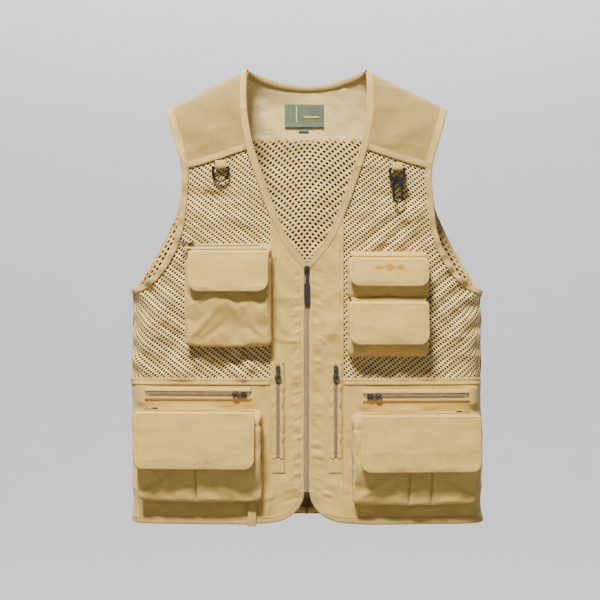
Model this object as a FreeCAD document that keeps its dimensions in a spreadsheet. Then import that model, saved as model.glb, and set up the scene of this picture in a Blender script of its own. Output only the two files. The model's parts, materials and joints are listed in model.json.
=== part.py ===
"""Fishing vest: a sleeveless net-and-cloth vest with flap pockets, zips, a D-ring and a swivel hook.

Millimetres. X runs across the vest, Y from front (-) to back (+), Z up. The origin is the middle of the
shoulder line at the neck, where a hanger's hook passes. "Left" and "right" are as seen from the front.
"""
import FreeCAD, Part
import math
import os

V = FreeCAD.Vector
doc = FreeCAD.newDocument("fishing_vest")

# ---------------------------------------------------------------- driving dimensions
CELLS = [
    ("half_width", 276, "half the width of the body"),
    ("half_thick", 60, "half the thickness of the body at its middle"),
    ("body_long", 708, "neck point of the shoulder down to the hem"),
    ("shoulder_drop", 0.512, "fall of the shoulder line per mm outwards"),
    ("neck_half", 104.6, "half the width of the neck at the shoulder line"),
    ("fold_high", 170, "height over which the body closes towards the shoulder line"),
    ("cloth_thick", 1.2, "plain cloth panel"),
    ("lining_thick", 0.8, "inner net and neck facing"),
    ("lining_gap", 2.4, "from the outer cloth's outside to the inner layer"),
    ("trim_gap", 0.2, "binding above the cloth"),
    ("trim_thick", 1.2, "binding and seam tape"),
    ("trim_wide", 9, "binding width"),
    ("seam_tape_wide", 10, "tape along the front yoke seam"),
    ("neck_deep", 312.5, "neck point down to the bottom of the V"),
    ("back_neck_deep", 23, "fall of the back neckline"),
    ("front_gap", 4.4, "half the gap between the two fronts"),
    ("placket_out", 57, "outer seam of the cloth strip beside the front zip"),
    ("waist_down", 492.5, "seam between the net and the lower cloth panel"),
    ("back_yoke_down", 150, "lower edge of the back yoke"),
    ("facing_down", 105, "lower edge of the inner neck facing"),
    ("front_curve_start", 655, "where the front edge starts to round into the hem"),
    ("pouch_cloth", 1.6, "pocket wall"),
    ("slip_deep", 9, "patch pouch in front of a zipped pocket"),
    ("slip_down", 12, "top of the patch pouch below its pocket's front edge"),
    ("flap_thick", 2.2, "pocket flap, two layers of cloth"),
    ("flap_radius", 16, "lower corners of a flap"),
    ("flap_gap", 2.4, "between a flap and the pocket front, room for two patches"),
    ("slot_wide", 6, "opening in the cloth under a pocket zip"),
    ("patch_thick", 0.9, "hook or loop closing patch"),
    ("patch_high", 16, "closing patch height"),
    ("patch_wide", 34, "closing patch width"),
    ("chest_left_wide", 134, "upper left pocket"),
    ("chest_left_high", 158, ""),
    ("chest_left_deep", 18, ""),
    ("chest_left_fall", 10, "fall of the top gusset towards the front"),
    ("chest_left_flap_wide", 124, ""),
    ("chest_left_flap_high", 65, ""),
    ("chest_right_wide", 127, "the two upper right pockets"),
    ("chest_right_deep", 18, ""),
    ("upper_right_high", 66, ""),
    ("upper_right_flap_high", 46, ""),
    ("lower_pouch_high", 88, ""),
    ("lower_pouch_flap_high", 69, ""),
    ("skirt_pocket_wide", 194, "the two large lower pockets"),
    ("skirt_pocket_high", 140, ""),
    ("skirt_pocket_deep", 22, ""),
    ("skirt_pocket_fall", 10, "fall of the top gusset towards the front"),
    ("skirt_flap_wide", 187, ""),
    ("skirt_flap_high", 90, ""),
    ("main_chain", 4.4, "width of the front zip's closed coil"),
    ("pocket_chain", 4, "width of a pocket zip's closed coil"),
    ("main_zip_long", 350, ""),
    ("upright_zip_long", 138, "zips in the front strips"),
    ("waist_zip_long", 155, "zips above the lower pockets"),
    ("chest_zip_long", 112, "zip on the top of the upper left pocket"),
    ("skirt_zip_long", 168, "zips on the top of the lower pockets"),
    ("grip_long", 30, "moulded grip of the front zip"),
    ("grip_wide", 8.4, ""),
    ("grip_thick", 4, ""),
    ("tab_wide", 16.8, "webbing tab that holds a ring"),
    ("tab_thick", 8, ""),
    ("tab_high", 15, ""),
    ("wire_radius", 2, "D-ring and hook frame"),
    ("ring_radius", 12, "centre line of the D-ring's round end"),
    ("ring_side", 10, "straight side of the D-ring"),
    ("bore_clear", 0.3, "running gap round a ring's bar in its tab"),
    ("hook_radius", 6.6, "centre line of the hook's round end"),
    ("hook_wire", 1.9, "radius of the hook"),
    ("hook_long", 22, "hook's straight side"),
    ("swivel_radius", 2, "swivel pin"),
    ("swivel_clear", 0.1, ""),
    ("label_wide", 64, "neck label"),
    ("label_high", 38, ""),
    ("strap_wide", 12, "loose strap end under the lower left pocket"),
    ("strap_long", 41, ""),
    ("strap_thick", 1.6, ""),
    ("bail_half", 11, "half the width of the bail that carries the hook"),
    ("bail_long", 14, "bar of the bail down to its foot"),
    ("foot_high", 5, "foot of the bail, bored for the swivel"),
    ("swivel_out", 7, "swivel pin in front of the bail's bar"),
    ("gate_radius", 1.5, "gate of the hook"),
    ("gate_pin", 0.8, ""),
]
sheet = doc.addObject("Spreadsheet::Sheet", "dims")
for row, (alias, value, note) in enumerate(CELLS, start=1):
    sheet.set(f"A{row}", alias)
    sheet.set(f"B{row}", str(value))
    sheet.set(f"C{row}", note)
    sheet.setAlias(f"B{row}", alias)
doc.recompute()
d = {alias: float(sheet.get(alias)) for alias, _, _ in CELLS}
LEFT, RIGHT = -1, 1
FRONT, BACK = -1, 1
nodes = {}


def node(name, obj, placement=None):
    """obj is the sub-part of that name, and goes where placement says."""
    obj.Label = name
    if placement is not None:
        obj.Placement = placement
    nodes[name] = obj
    return obj


# ---------------------------------------------------------------- the body's form
ROUND_NECK = 30.0
SIDE_POWER = 24
PLAN_BOW = 0.28
BELOW_HEM = 20.0
BELOW_ROWS = 4


def shoulder(x):
    """Height of the shoulder line at x."""
    return -d["shoulder_drop"] * (math.hypot(x, ROUND_NECK) - math.hypot(d["neck_half"], ROUND_NECK))


def plan_depth(x, offset=0.0):
    """Distance of the body's surface from its middle plane, well below the shoulders."""
    share = min(abs(x) / (d["half_width"] + offset), 1.0)
    bow = 1 - PLAN_BOW * share**2
    return (d["half_thick"] + offset) * bow * math.sqrt(max(0.0, 1 - share**SIDE_POWER))


def closing(drop):
    """1 well below the shoulder line, falling to 0 on it, as a quarter of an ellipse."""
    high = d["fold_high"]
    return math.sqrt(1 - (1 - min(max(drop, 0.0), high) / high) ** 2)


def body_point(x, drop, offset, side):
    depth = plan_depth(x, offset) * closing(drop)
    return V(x, side * depth, shoulder(x) + offset - drop)


def body_surface(offset, side):
    """Spline surface of one side of the body, offset outwards from the cloth's outside."""
    half = [0, 0.15, 0.3, 0.45, 0.6, 0.72, 0.82, 0.88, 0.92, 0.95, 0.97, 0.985, 0.995, 1]
    shares = [-s for s in reversed(half[1:])] + half
    near_fold = [0, 3, 10, 22, 40, 65, 95, 130, 170, 200, 240, 300]
    rows = []
    for share in shares:
        x = share * (d["half_width"] + offset)
        total = shoulder(x) + offset + d["body_long"] + BELOW_HEM
        step = (total - near_fold[-1]) / BELOW_ROWS
        drops = near_fold + [near_fold[-1] + step * k for k in range(1, BELOW_ROWS + 1)]
        rows.append([body_point(x, drop, offset, side) for drop in drops])
    surface = Part.BSplineSurface()
    surface.interpolate(rows)
    return surface


def body_layer(outer, inner, side):
    """Solid layer of one side of the body between two offsets."""
    a, b = body_surface(outer, side), body_surface(inner, side)
    u0, u1, v0, v1 = a.bounds()
    p0, p1, q0, q1 = b.bounds()
    faces = [a.toShape(), b.toShape()]
    for edge_a, edge_b in (
        (a.uIso(u0), b.uIso(p0)),
        (a.uIso(u1), b.uIso(p1)),
        (a.vIso(v0), b.vIso(q0)),
        (a.vIso(v1), b.vIso(q1)),
    ):
        faces.append(Part.makeRuledSurface(edge_a.toShape(), edge_b.toShape()))
    shell = Part.makeShell(faces)
    shell.sewShape()
    solid = Part.makeSolid(shell)
    if solid.Volume < 0:
        solid.reverse()
    return solid


# ---------------------------------------------------------------- seam lines and cut-outs
FAR = 400.0
NECK = [(104.6, 0), (103, -64), (94.6, -117.4), (79, -168.5), (55.8, -233), (35.7, -274), (4.4, -312.5)]
FRONT_ARM = [(222, -59), (207, -108), (194, -157), (196, -205), (201, -250), (215, -290), (240, -325), (276, -347)]
BACK_ARM = [(222, -59), (209, -105), (201, -150), (205, -205), (219, -242), (242, -288), (262, -320), (276, -347)]
YOKE_SEAM = [(60, -115), (98, -129), (145, -144), (215, -163)]
HEM_CORNER = [(4.4, -655), (8, -673), (20, -690), (41, -702), (92, -708)]


def curve(points, side):
    """Smooth edge through (distance from the middle, height) points on one side of the vest."""
    spline = Part.BSplineCurve()
    spline.interpolate([V(side * a, 0, z) for a, z in points])
    return spline.toShape()


def line(points, side):
    return [
        Part.makeLine(V(side * a, 0, z), V(side * b, 0, y))
        for (a, z), (b, y) in zip(points, points[1:])
    ]


def prism(edges, side):
    """The region inside a flat outline, run through one wall of the body along Y."""
    wire = Part.Wire(Part.__sortEdges__(edges))
    face = Part.Face(wire)
    return face.extrude(V(0, side * FAR, 0))


def slab(a0, a1, z0, z1, side, depth_side):
    """Rectangular region from a0 to a1 out from the middle and from z0 up to z1."""
    x0, x1 = sorted((side * a0, side * a1))
    y0, y1 = sorted((0.0, depth_side * FAR))
    return Part.makeBox(x1 - x0, y1 - y0, z1 - z0, V(x0, y0, z0))


def beside(points, side, depth_side, towards):
    """Region on one side of a curve: towards is the list of corners that closes it."""
    first, last = points[0], points[-1]
    return prism([curve(points, side)] + line([last, *towards, first], side), depth_side)


def shifted(points, amount):
    """The points moved by amount to the left of their direction of travel."""
    moved = []
    for i, (a, z) in enumerate(points):
        before, after = points[max(i - 1, 0)], points[min(i + 1, len(points) - 1)]
        run_a, run_z = after[0] - before[0], after[1] - before[1]
        long = math.hypot(run_a, run_z)
        moved.append((a - run_z / long * amount, z + run_a / long * amount))
    return moved


def neck_region(side, amount=0.0):
    """Inside of the V neck, grown by amount into the cloth."""
    points = shifted(NECK, amount) if amount else NECK
    return beside(points, side, FRONT, [(points[-1][0], -FAR / 2), (0, -FAR / 2), (0, FAR), (points[0][0], FAR)])


def arm_region(points, side, depth_side, amount=0.0):
    moved = shifted(points, -amount) if amount else points
    return beside(moved, side, depth_side, [(FAR, moved[-1][1]), (FAR, FAR), (moved[0][0], FAR)])


def back_neck_region(amount=0.0):
    """Above the back neckline, an arc from neck point to neck point."""
    half, deep = d["neck_half"] + amount * 0.4, d["back_neck_deep"] + amount
    rise = amount * 0.2
    arc = Part.Arc(V(-half, 0, -rise), V(0, 0, -deep), V(half, 0, -rise)).toShape()
    ring = [(half, -rise), (half, FAR), (-half, FAR), (-half, -rise)]
    return prism([arc] + line(ring, RIGHT), BACK)


def corner_region(side, amount=0.0):
    """Outside of the rounded corner at the bottom of a front."""
    points = shifted(HEM_CORNER, -amount) if amount else HEM_CORNER
    below = -FAR * 2
    return beside(points, side, FRONT, [(points[-1][0], below), (-1, below), (-1, points[0][1])])


# ---------------------------------------------------------------- cloth panels
def panel(name, shape):
    """A cloth panel follows the body's double curve, so its shape is cut from a body layer."""
    solids = [s for s in shape.Solids if s.Volume > 1.0]
    obj = doc.addObject("Part::Feature", name)
    obj.Shape = solids[0] if len(solids) == 1 else Part.makeCompound(solids)
    return node(name, obj)


def yoke_region(side):
    return beside(YOKE_SEAM, side, FRONT, [(FAR, -163), (FAR, FAR), (60, FAR)])


def front_cloth():
    """Both fronts: yoke, net, placket and lower panel, cut from the front wall."""
    wall = body_layer(0, -d["cloth_thick"], FRONT)
    hem, waist, seam = -d["body_long"], -d["waist_down"], d["placket_out"]
    for side, word in ((LEFT, "left"), (RIGHT, "right")):
        half = wall.common(slab(d["front_gap"], FAR, hem, FAR, side, FRONT))
        for cutter in (neck_region(side), arm_region(FRONT_ARM, side, FRONT), corner_region(side)):
            half = half.cut(cutter)
        yoke = yoke_region(side)
        panel(f"{word}_front_yoke", half.common(yoke))
        below = half.cut(yoke)
        panel(f"{word}_placket", below.common(slab(0, seam, hem, FAR, side, FRONT)))
        outer = below.common(slab(seam, FAR, hem, FAR, side, FRONT))
        panel(f"{word}_front_mesh", outer.common(slab(0, FAR, waist, FAR, side, FRONT)))
        panel(f"{word}_front_skirt", outer.common(slab(0, FAR, hem, waist, side, FRONT)))


def trimmed_back(layer, top, bottom):
    """The back of a layer between two heights, with the neck and the armholes cut out."""
    for side in (LEFT, RIGHT):
        layer = layer.cut(arm_region(BACK_ARM, side, BACK))
    layer = layer.cut(back_neck_region())
    band = Part.makeBox(4 * FAR, FAR, top - bottom, V(-2 * FAR, 0, bottom))
    return layer.common(band)


def back_cloth():
    """Outer back yoke and back, and inside them the neck facing and the net lining."""
    wall = body_layer(0, -d["cloth_thick"], BACK)
    yoke_edge, facing_edge = -d["back_yoke_down"], -d["facing_down"]
    panel("back_yoke", trimmed_back(wall, FAR, yoke_edge))
    panel("back_panel", trimmed_back(wall, yoke_edge, -d["body_long"]))
    outer = -d["lining_gap"]
    lining = body_layer(outer, outer - d["lining_thick"], BACK)
    panel("neck_facing", trimmed_back(lining, FAR, facing_edge))
    panel("back_mesh_lining", trimmed_back(lining, facing_edge, -d["waist_down"]))


def bindings():
    """Folded tape along the neck, the armholes, the hem and the front yoke seams."""
    low, high, wide = d["trim_gap"], d["trim_gap"] + d["trim_thick"], d["trim_wide"]
    front, back = body_layer(high, low, FRONT), body_layer(high, low, BACK)
    hem = -d["body_long"]
    neck, arms, hems, tapes = [], [], [], []
    back_open = back.cut(back_neck_region())
    neck.append(back_open.common(back_neck_region(wide)))
    for side in (LEFT, RIGHT):
        back_open = back_open.cut(arm_region(BACK_ARM, side, BACK))
    for side in (LEFT, RIGHT):
        half = front.common(slab(d["front_gap"], FAR, hem, FAR, side, FRONT))
        open_half = half.cut(neck_region(side)).cut(arm_region(FRONT_ARM, side, FRONT))
        neck.append(open_half.common(neck_region(side, wide)))
        inner = open_half.cut(neck_region(side, wide))
        grown_arm = arm_region(FRONT_ARM, side, FRONT, wide)
        side_slab = slab(0, FAR, -347, FAR, side, FRONT)
        arms.append(inner.common(grown_arm).common(side_slab))
        tape = yoke_region(side).cut(yoke_region(side).translated(V(0, 0, d["seam_tape_wide"])))
        tapes.append(inner.cut(grown_arm).common(tape))
        arm_back = arm_region(BACK_ARM, side, BACK, wide)
        arms.append(back_open.cut(back_neck_region(wide)).common(arm_back).common(slab(0, FAR, -347, FAR, side, BACK)))
        hem_band = slab(0, FAR, hem, hem + wide, side, FRONT)
        corner = corner_region(side, wide)
        hems.append(half.cut(corner_region(side)).common(hem_band.fuse(corner)))
    back_hem = Part.makeBox(4 * FAR, FAR, wide, V(-2 * FAR, 0, hem))
    hems.append(back_open.common(back_hem))
    for name, pieces in (
        ("neck_binding", neck),
        ("armhole_bindings", arms),
        ("hem_binding", hems),
        ("yoke_seam_tapes", tapes),
    ):
        panel(name, Part.makeCompound([s for piece in pieces for s in piece.Solids]))


# ---------------------------------------------------------------- primitives bound to the sheet
def bound(obj, **cells):
    for prop, expression in cells.items():
        obj.setExpression(prop, expression)
    return obj


def put(obj, x, y, z):
    for axis, expression in (("x", x), ("y", y), ("z", z)):
        obj.setExpression(f"Placement.Base.{axis}", expression)
    return obj


def box(x, y, z, wide, deep, high):
    """Box from its lowest corner; each of the six is an expression on the sheet."""
    return put(bound(doc.addObject("Part::Box", "box"), Length=wide, Width=deep, Height=high), x, y, z)


TURNS = {
    "x": FreeCAD.Rotation(V(0, 1, 0), 90),
    "y": FreeCAD.Rotation(V(1, 0, 0), -90),
    "z": FreeCAD.Rotation(),
}


def rod(x, y, z, radius, long, axis="z"):
    """Cylinder along an axis, from its end point towards plus."""
    obj = doc.addObject("Part::Cylinder", "rod")
    obj.Placement = FreeCAD.Placement(V(), TURNS[axis])
    return put(bound(obj, Radius=radius, Height=long), x, y, z)


def cut(base, *tools):
    for tool in tools:
        made = doc.addObject("Part::Cut", "cut")
        made.Base, made.Tool = base, tool
        base = made
    return base


def fuse(*shapes):
    made = doc.addObject("Part::MultiFuse", "fuse")
    made.Shapes = list(shapes)
    return made


def group(*shapes):
    """Several solids in one sub-part."""
    made = doc.addObject("Part::Compound", "group")
    made.Links = list(shapes)
    return made


CLEAR = 0.3


def wall_frame(x, z, out=0.0, side_turn=0.0):
    """Local frame on the front wall: x along the wall, -y straight out of it, z up."""
    step = 10.0
    slope = (plan_depth(x - step) - plan_depth(x + step)) / (2 * step)
    rotation = FreeCAD.Rotation(V(0, 0, 1), math.degrees(math.atan(slope)) + side_turn)
    normal = rotation.multVec(V(0, -1, 0))
    depth = plan_depth(x) * closing(shoulder(x) - z)
    return FreeCAD.Placement(V(x, -depth, z) + normal * out, rotation)


def moved(place, x, y, z, rotation=None):
    """A frame moved, then turned, inside another."""
    return place.multiply(FreeCAD.Placement(V(x, y, z), rotation or FreeCAD.Rotation()))


# ---------------------------------------------------------------- zips
# Sizes are in chain widths. In a zip's own frame the closed end is the origin, the chain runs down -z
# and the outside of the cloth is -y.
TAPE_HALF, TAPE_THICK = 2.0, 0.2
CHAIN_HALF, CHAIN_OUT = 0.5, 0.6
PLATE_HALF, PLATE_IN, PLATE_OUT, PLATE_LONG = 0.9, 0.72, 1.05, 2.3
FLANGE_IN, FLANGE_LOW = 0.62, 0.28
POST_HALF, POST_LONG, POST_TOP, POST_END = 0.2, 0.25, 0.35, 1.95
BRIDGE_IN, BRIDGE_OUT = 1.4, 1.6
PIN_DOWN, PIN_OUT, PIN_RADIUS = 1.15, 1.225, 0.11
ARM_IN, ARM_OUT, ARM_LONG = 0.27, 0.42, 1.0
BLADE_END = 2.0
RING_OUT, RING_IN, RING_HALF = 1.35, 0.7, 0.2


def unit_box(cell, x0, x1, out0, out1, z0, z1):
    """Box in chain widths; out is measured outwards from the cloth."""
    return box(
        f"{x0} * dims.{cell}", f"{-out1} * dims.{cell}", f"{z0} * dims.{cell}",
        f"{x1 - x0} * dims.{cell}", f"{out1 - out0} * dims.{cell}", f"{z1 - z0} * dims.{cell}",
    )


def zip_strip(name, cell, long_cell, place, ends=1.0):
    """Closed coil on its tape."""
    tape = box(
        f"{-TAPE_HALF} * dims.{cell}", f"{-TAPE_THICK} * dims.{cell}", f"-dims.{long_cell} - {ends} * dims.{cell}",
        f"{2 * TAPE_HALF} * dims.{cell}", f"{TAPE_THICK} * dims.{cell}",
        f"dims.{long_cell} + {2 * ends} * dims.{cell}",
    )
    chain = box(
        f"{-CHAIN_HALF} * dims.{cell}", f"{-CHAIN_OUT} * dims.{cell}", f"-dims.{long_cell}",
        f"{2 * CHAIN_HALF} * dims.{cell}", f"{CHAIN_OUT - TAPE_THICK} * dims.{cell}", f"dims.{long_cell}",
    )
    return node(f"{name}_zip", fuse(tape, chain), place)


def zip_slider(name, cell, place):
    """Cap over the coil, its two side flanges and the bridge that holds the pull."""
    pieces = [unit_box(cell, -PLATE_HALF, PLATE_HALF, PLATE_IN, PLATE_OUT, -PLATE_LONG, 0)]
    for side in (LEFT, RIGHT):
        x0, x1 = sorted((side * FLANGE_IN, side * PLATE_HALF))
        pieces.append(unit_box(cell, x0, x1, FLANGE_LOW, PLATE_IN, -PLATE_LONG, 0))
    for top in (POST_TOP, POST_END - POST_LONG):
        pieces.append(unit_box(cell, -POST_HALF, POST_HALF, PLATE_OUT, BRIDGE_OUT, -top - POST_LONG, -top))
    pieces.append(unit_box(cell, -POST_HALF, POST_HALF, BRIDGE_IN, BRIDGE_OUT, -POST_END, -POST_TOP))
    return node(f"{name}_zip_slider", fuse(*pieces), place)


def pull_fork(cell, towards, blade_end=BLADE_END):
    """Pin, two arms and blade of a pull that lies along the chain (-1) or past its closed end (1)."""
    pieces = [
        rod(f"{-ARM_OUT} * dims.{cell}", f"{-PIN_OUT} * dims.{cell}", f"{-PIN_DOWN} * dims.{cell}",
            f"{PIN_RADIUS} * dims.{cell}", f"{2 * ARM_OUT} * dims.{cell}", axis="x"),
    ]
    low, high = PIN_OUT - PIN_RADIUS, PIN_OUT + PIN_RADIUS
    ends = sorted((-PIN_DOWN - towards * PIN_RADIUS, -PIN_DOWN + towards * ARM_LONG))
    for side in (LEFT, RIGHT):
        x0, x1 = sorted((side * ARM_IN, side * ARM_OUT))
        pieces.append(unit_box(cell, x0, x1, low, high, *ends))
    blade = sorted((-PIN_DOWN + towards * ARM_LONG, -PIN_DOWN + towards * blade_end))
    pieces.append(unit_box(cell, -ARM_OUT, ARM_OUT, low, high, *blade))
    return pieces


def ring_pull(name, cell, place, towards=-1):
    """Pull with a flat ring at its end."""
    centre = -PIN_DOWN + towards * (BLADE_END + RING_OUT - PIN_RADIUS)
    ring = cut(
        rod("0", f"{-PIN_OUT - RING_HALF} * dims.{cell}", f"{centre} * dims.{cell}",
            f"{RING_OUT} * dims.{cell}", f"{2 * RING_HALF} * dims.{cell}", axis="y"),
        rod("0", f"{-PIN_OUT - 2 * RING_HALF} * dims.{cell}", f"{centre} * dims.{cell}",
            f"{RING_IN} * dims.{cell}", f"{4 * RING_HALF} * dims.{cell}", axis="y"),
    )
    return node(f"{name}_zip_pull", fuse(*pull_fork(cell, towards), ring), place)


def ring_zip(name, long_cell, place, towards=-1):
    zip_strip(name, "pocket_chain", long_cell, place)
    zip_slider(name, "pocket_chain", place)
    ring_pull(name, "pocket_chain", place, towards)


MAIN_ZIP_TOP = -308.0
NECK_END, NECK_HALF, NECK_THICK = 6.2, 0.5, 0.5


def main_zip():
    """Front zip behind the edges of the two fronts, with its stops and its long moulded grip."""
    cell = "main_chain"
    behind = -(d["half_thick"] - d["cloth_thick"] - CLEAR - TAPE_THICK * d[cell])
    place = FreeCAD.Placement(V(0, behind, MAIN_ZIP_TOP), FreeCAD.Rotation())
    zip_strip("main", cell, "main_zip_long", place)
    zip_slider("main", cell, place)
    neck = unit_box(cell, -NECK_HALF, NECK_HALF, PIN_OUT - NECK_THICK / 2, PIN_OUT + NECK_THICK / 2,
                    -NECK_END, -PIN_DOWN - BLADE_END)
    grip_z = f"{-NECK_END} * dims.{cell} - dims.grip_long"
    grip = box("-dims.grip_wide / 2", f"{-PIN_OUT} * dims.{cell} - dims.grip_thick / 2", grip_z,
               "dims.grip_wide", "dims.grip_thick", "dims.grip_long")
    node("main_zip_pull", fuse(*pull_fork(cell, -1, BLADE_END), neck, grip), place)
    stops = [
        unit_box(cell, *sorted((side * 0.5, side * 0.9)), TAPE_THICK, 0.65, 0.1, 0.7) for side in (LEFT, RIGHT)
    ]
    foot = box(f"-0.8 * dims.{cell}", f"-0.7 * dims.{cell}", "-dims.main_zip_long - 9", f"1.6 * dims.{cell}",
               f"0.48 * dims.{cell}", "8.7")
    node("main_zip_stops", group(*stops, foot), place)


UPRIGHT_X, UPRIGHT_TOP = 44.8, -463.0
WAIST_MIDDLE, WAIST_Z = 170.0, {"left": -507.0, "right": -510.0}


def cloth_zips():
    """Upright zips in the two front strips and level zips above the lower pockets."""
    for side, word in ((LEFT, "left"), (RIGHT, "right")):
        ring_zip(f"{word}_upright", "upright_zip_long", wall_frame(side * UPRIGHT_X, UPRIGHT_TOP, CLEAR))
        turn = FreeCAD.Rotation(V(0, 1, 0), -90 * side)
        middle = wall_frame(side * WAIST_MIDDLE, WAIST_Z[word], CLEAR)
        place = moved(middle, -side * d["waist_zip_long"] / 2, 0, 0, turn)
        ring_zip(f"{word}_waist", "waist_zip_long", place)


# ---------------------------------------------------------------- pockets
def form_tool():
    """The body under the front pockets, a little larger than the cloth, that shapes their backs."""
    obj = doc.addObject("Part::Feature", "under_pockets")
    obj.Shape = body_layer(d["trim_gap"] + 0.1, -FAR / 10, FRONT)
    return obj


UNDER = form_tool()
BEHIND = 26.0


def wedge(wide, deep, fall, high, inset="0"):
    """Block whose top falls towards the front, made smaller all round by inset."""
    obj = doc.addObject("Part::Wedge", "wedge")
    half = f"{wide} / 2 - {inset}"
    return bound(
        obj, Xmin=f"-({half})", Xmax=half, X2min=f"-({half})", X2max=half,
        Ymin=f"-({deep}) + {inset}", Ymax=f"0 * {inset}",
        Zmin=f"-({high}) + {inset}", Zmax=f"-({fall}) - {inset}",
        Z2min=f"-({high}) + {inset}", Z2max=f"-({inset})",
    )


def block(wide, deep, high, inset="0"):
    """Block from the local origin's plane back towards the cloth, made smaller all round by inset."""
    return box(f"-{wide} / 2 + {inset}", "0", f"-({high}) + {inset}", f"{wide} - 2 * {inset}", deep,
               f"{high} - 2 * {inset}")


def fitted(hollow, place):
    """The part of a pocket that is in front of the cloth, in the row's frame."""
    hollow.Placement = place
    return cut(hollow, UNDER)


def zipped_pocket(name, wide, deep, fall, high, place, zip_cell, end, zip_start, pull_towards=-1):
    """Pocket with a zip along its sloping top gusset and a patch pouch on its front.

    place is the middle of its top edge on the cloth. The zip is closed at the end given, zip_start out
    from the middle.
    """
    wall = "dims.pouch_cloth"
    w, t, f, h = (f"dims.{cell}" for cell in (wide, deep, fall, high))
    outer = fuse(wedge(w, t, f, h), block(w, f"{BEHIND}", h))
    inner = fuse(wedge(w, t, f, h, wall), block(w, f"{BEHIND}", h, wall))
    slot = box(f"-dims.{zip_cell} / 2", f"-{t} / 2 - dims.slot_wide / 2", f"-{f} - 4 * {wall}",
               f"dims.{zip_cell}", "dims.slot_wide", f"{f} + 8 * {wall}")
    slip_high = f"({h} - {f} - dims.slip_down)"
    slip = box(f"-{w} / 2", f"-{t} - dims.slip_deep", f"-{h}", w, "dims.slip_deep", slip_high)
    slip_room = box(f"-{w} / 2 + {wall}", f"-{t} - dims.slip_deep + {wall}", f"-{h} + {wall}",
                    f"{w} - 2 * {wall}", f"dims.slip_deep - {wall}", slip_high)
    hollow = cut(fuse(outer, slip), inner, slot, slip_room)
    node(f"{name}_pocket", fitted(hollow, place))
    # the zip lies on the slope: its outside faces up and a little forwards
    lean = math.atan(d[fall] / d[deep])
    to_cloth = V(0, math.sin(lean), -math.cos(lean))
    up_chain = V(end, 0, 0)
    turn = FreeCAD.Rotation(to_cloth.cross(up_chain), to_cloth, up_chain, "ZYX")
    lift = to_cloth * -CLEAR
    zip_place = moved(place, end * zip_start, -d[deep] / 2 + lift.y, -d[fall] / 2 + lift.z, turn)
    ring_zip(name, zip_cell, zip_place, pull_towards)
    return -d[deep] - d["slip_deep"]


def open_pouch(name, wide, deep, high, place):
    """Open-topped pouch with a lower front edge, so that a hand gets in under its flap."""
    wall = "dims.pouch_cloth"
    w, t, h = (f"dims.{cell}" for cell in (wide, deep, high))
    outer = box(f"-{w} / 2", f"-{t}", f"-{h}", w, f"{t} + {BEHIND}", h)
    room = box(f"-{w} / 2 + {wall}", f"-{t} + {wall}", f"-{h} + {wall}", f"{w} - 2 * {wall}", f"{t} + {BEHIND}", h)
    mouth = box(f"-{w} / 2", f"-{t}", "-dims.slip_down", w, wall, "dims.slip_down")
    node(f"{name}_pocket", fitted(cut(outer, room, mouth), place))
    return -d[deep]


def flap(name, wide, high, place, front, x=0.0, z=0.0):
    """Flap with rounded lower corners, in front of a pocket whose front is at y = front.

    Its own origin is its hinge line: the top edge, on the side towards the pocket.
    """
    w, h, r = f"dims.{wide}", f"dims.{high}", "dims.flap_radius"
    thick = "dims.flap_thick"
    pieces = [
        box(f"-{w} / 2", f"-{thick}", f"-{h} + {r}", w, thick, f"{h} - {r}"),
        box(f"-{w} / 2 + {r}", f"-{thick}", f"-{h}", f"{w} - 2 * {r}", thick, r),
    ]
    for corner in (f"-{w} / 2 + {r}", f"{w} / 2 - {r}"):
        pieces.append(rod(corner, f"-{thick}", f"-{h} + {r}", r, thick, axis="y"))
    patches = patch_pair(wide, f"-{h} + 8", "0")
    hinge = moved(place, x, front - d["flap_gap"], z)
    node(f"{name}_flap", group(fuse(*pieces), *patches), hinge)
    return hinge


def patch_pair(wide, z, y):
    """Two closing patches side by side, their outer face at y."""
    return [
        box(f"{side} * dims.{wide} / 4 - dims.patch_wide / 2", y, z, "dims.patch_wide", "dims.patch_thick",
            "dims.patch_high")
        for side in (LEFT, RIGHT)
    ]


def loop_patches(wide, high, hinge):
    """The patches on the pocket front that meet those of a flap."""
    found = group(*patch_pair(wide, f"-dims.{high} + 8", "dims.flap_gap - dims.patch_thick"))
    found.Placement = hinge
    return found


def side_zip(wide, deep, fall, side, place, top, long):
    """Straight run of a zip down a pocket's side gusset."""
    x = f"dims.{wide} / 2" if side == RIGHT else f"-dims.{wide} / 2 - dims.trim_thick"
    run = box(x, f"-dims.{deep} / 2 - dims.pocket_chain", f"-dims.{fall} - {top + long}", "dims.trim_thick",
              "2 * dims.pocket_chain", f"{long}")
    turned = group(run)
    turned.Placement = place
    return turned


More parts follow.
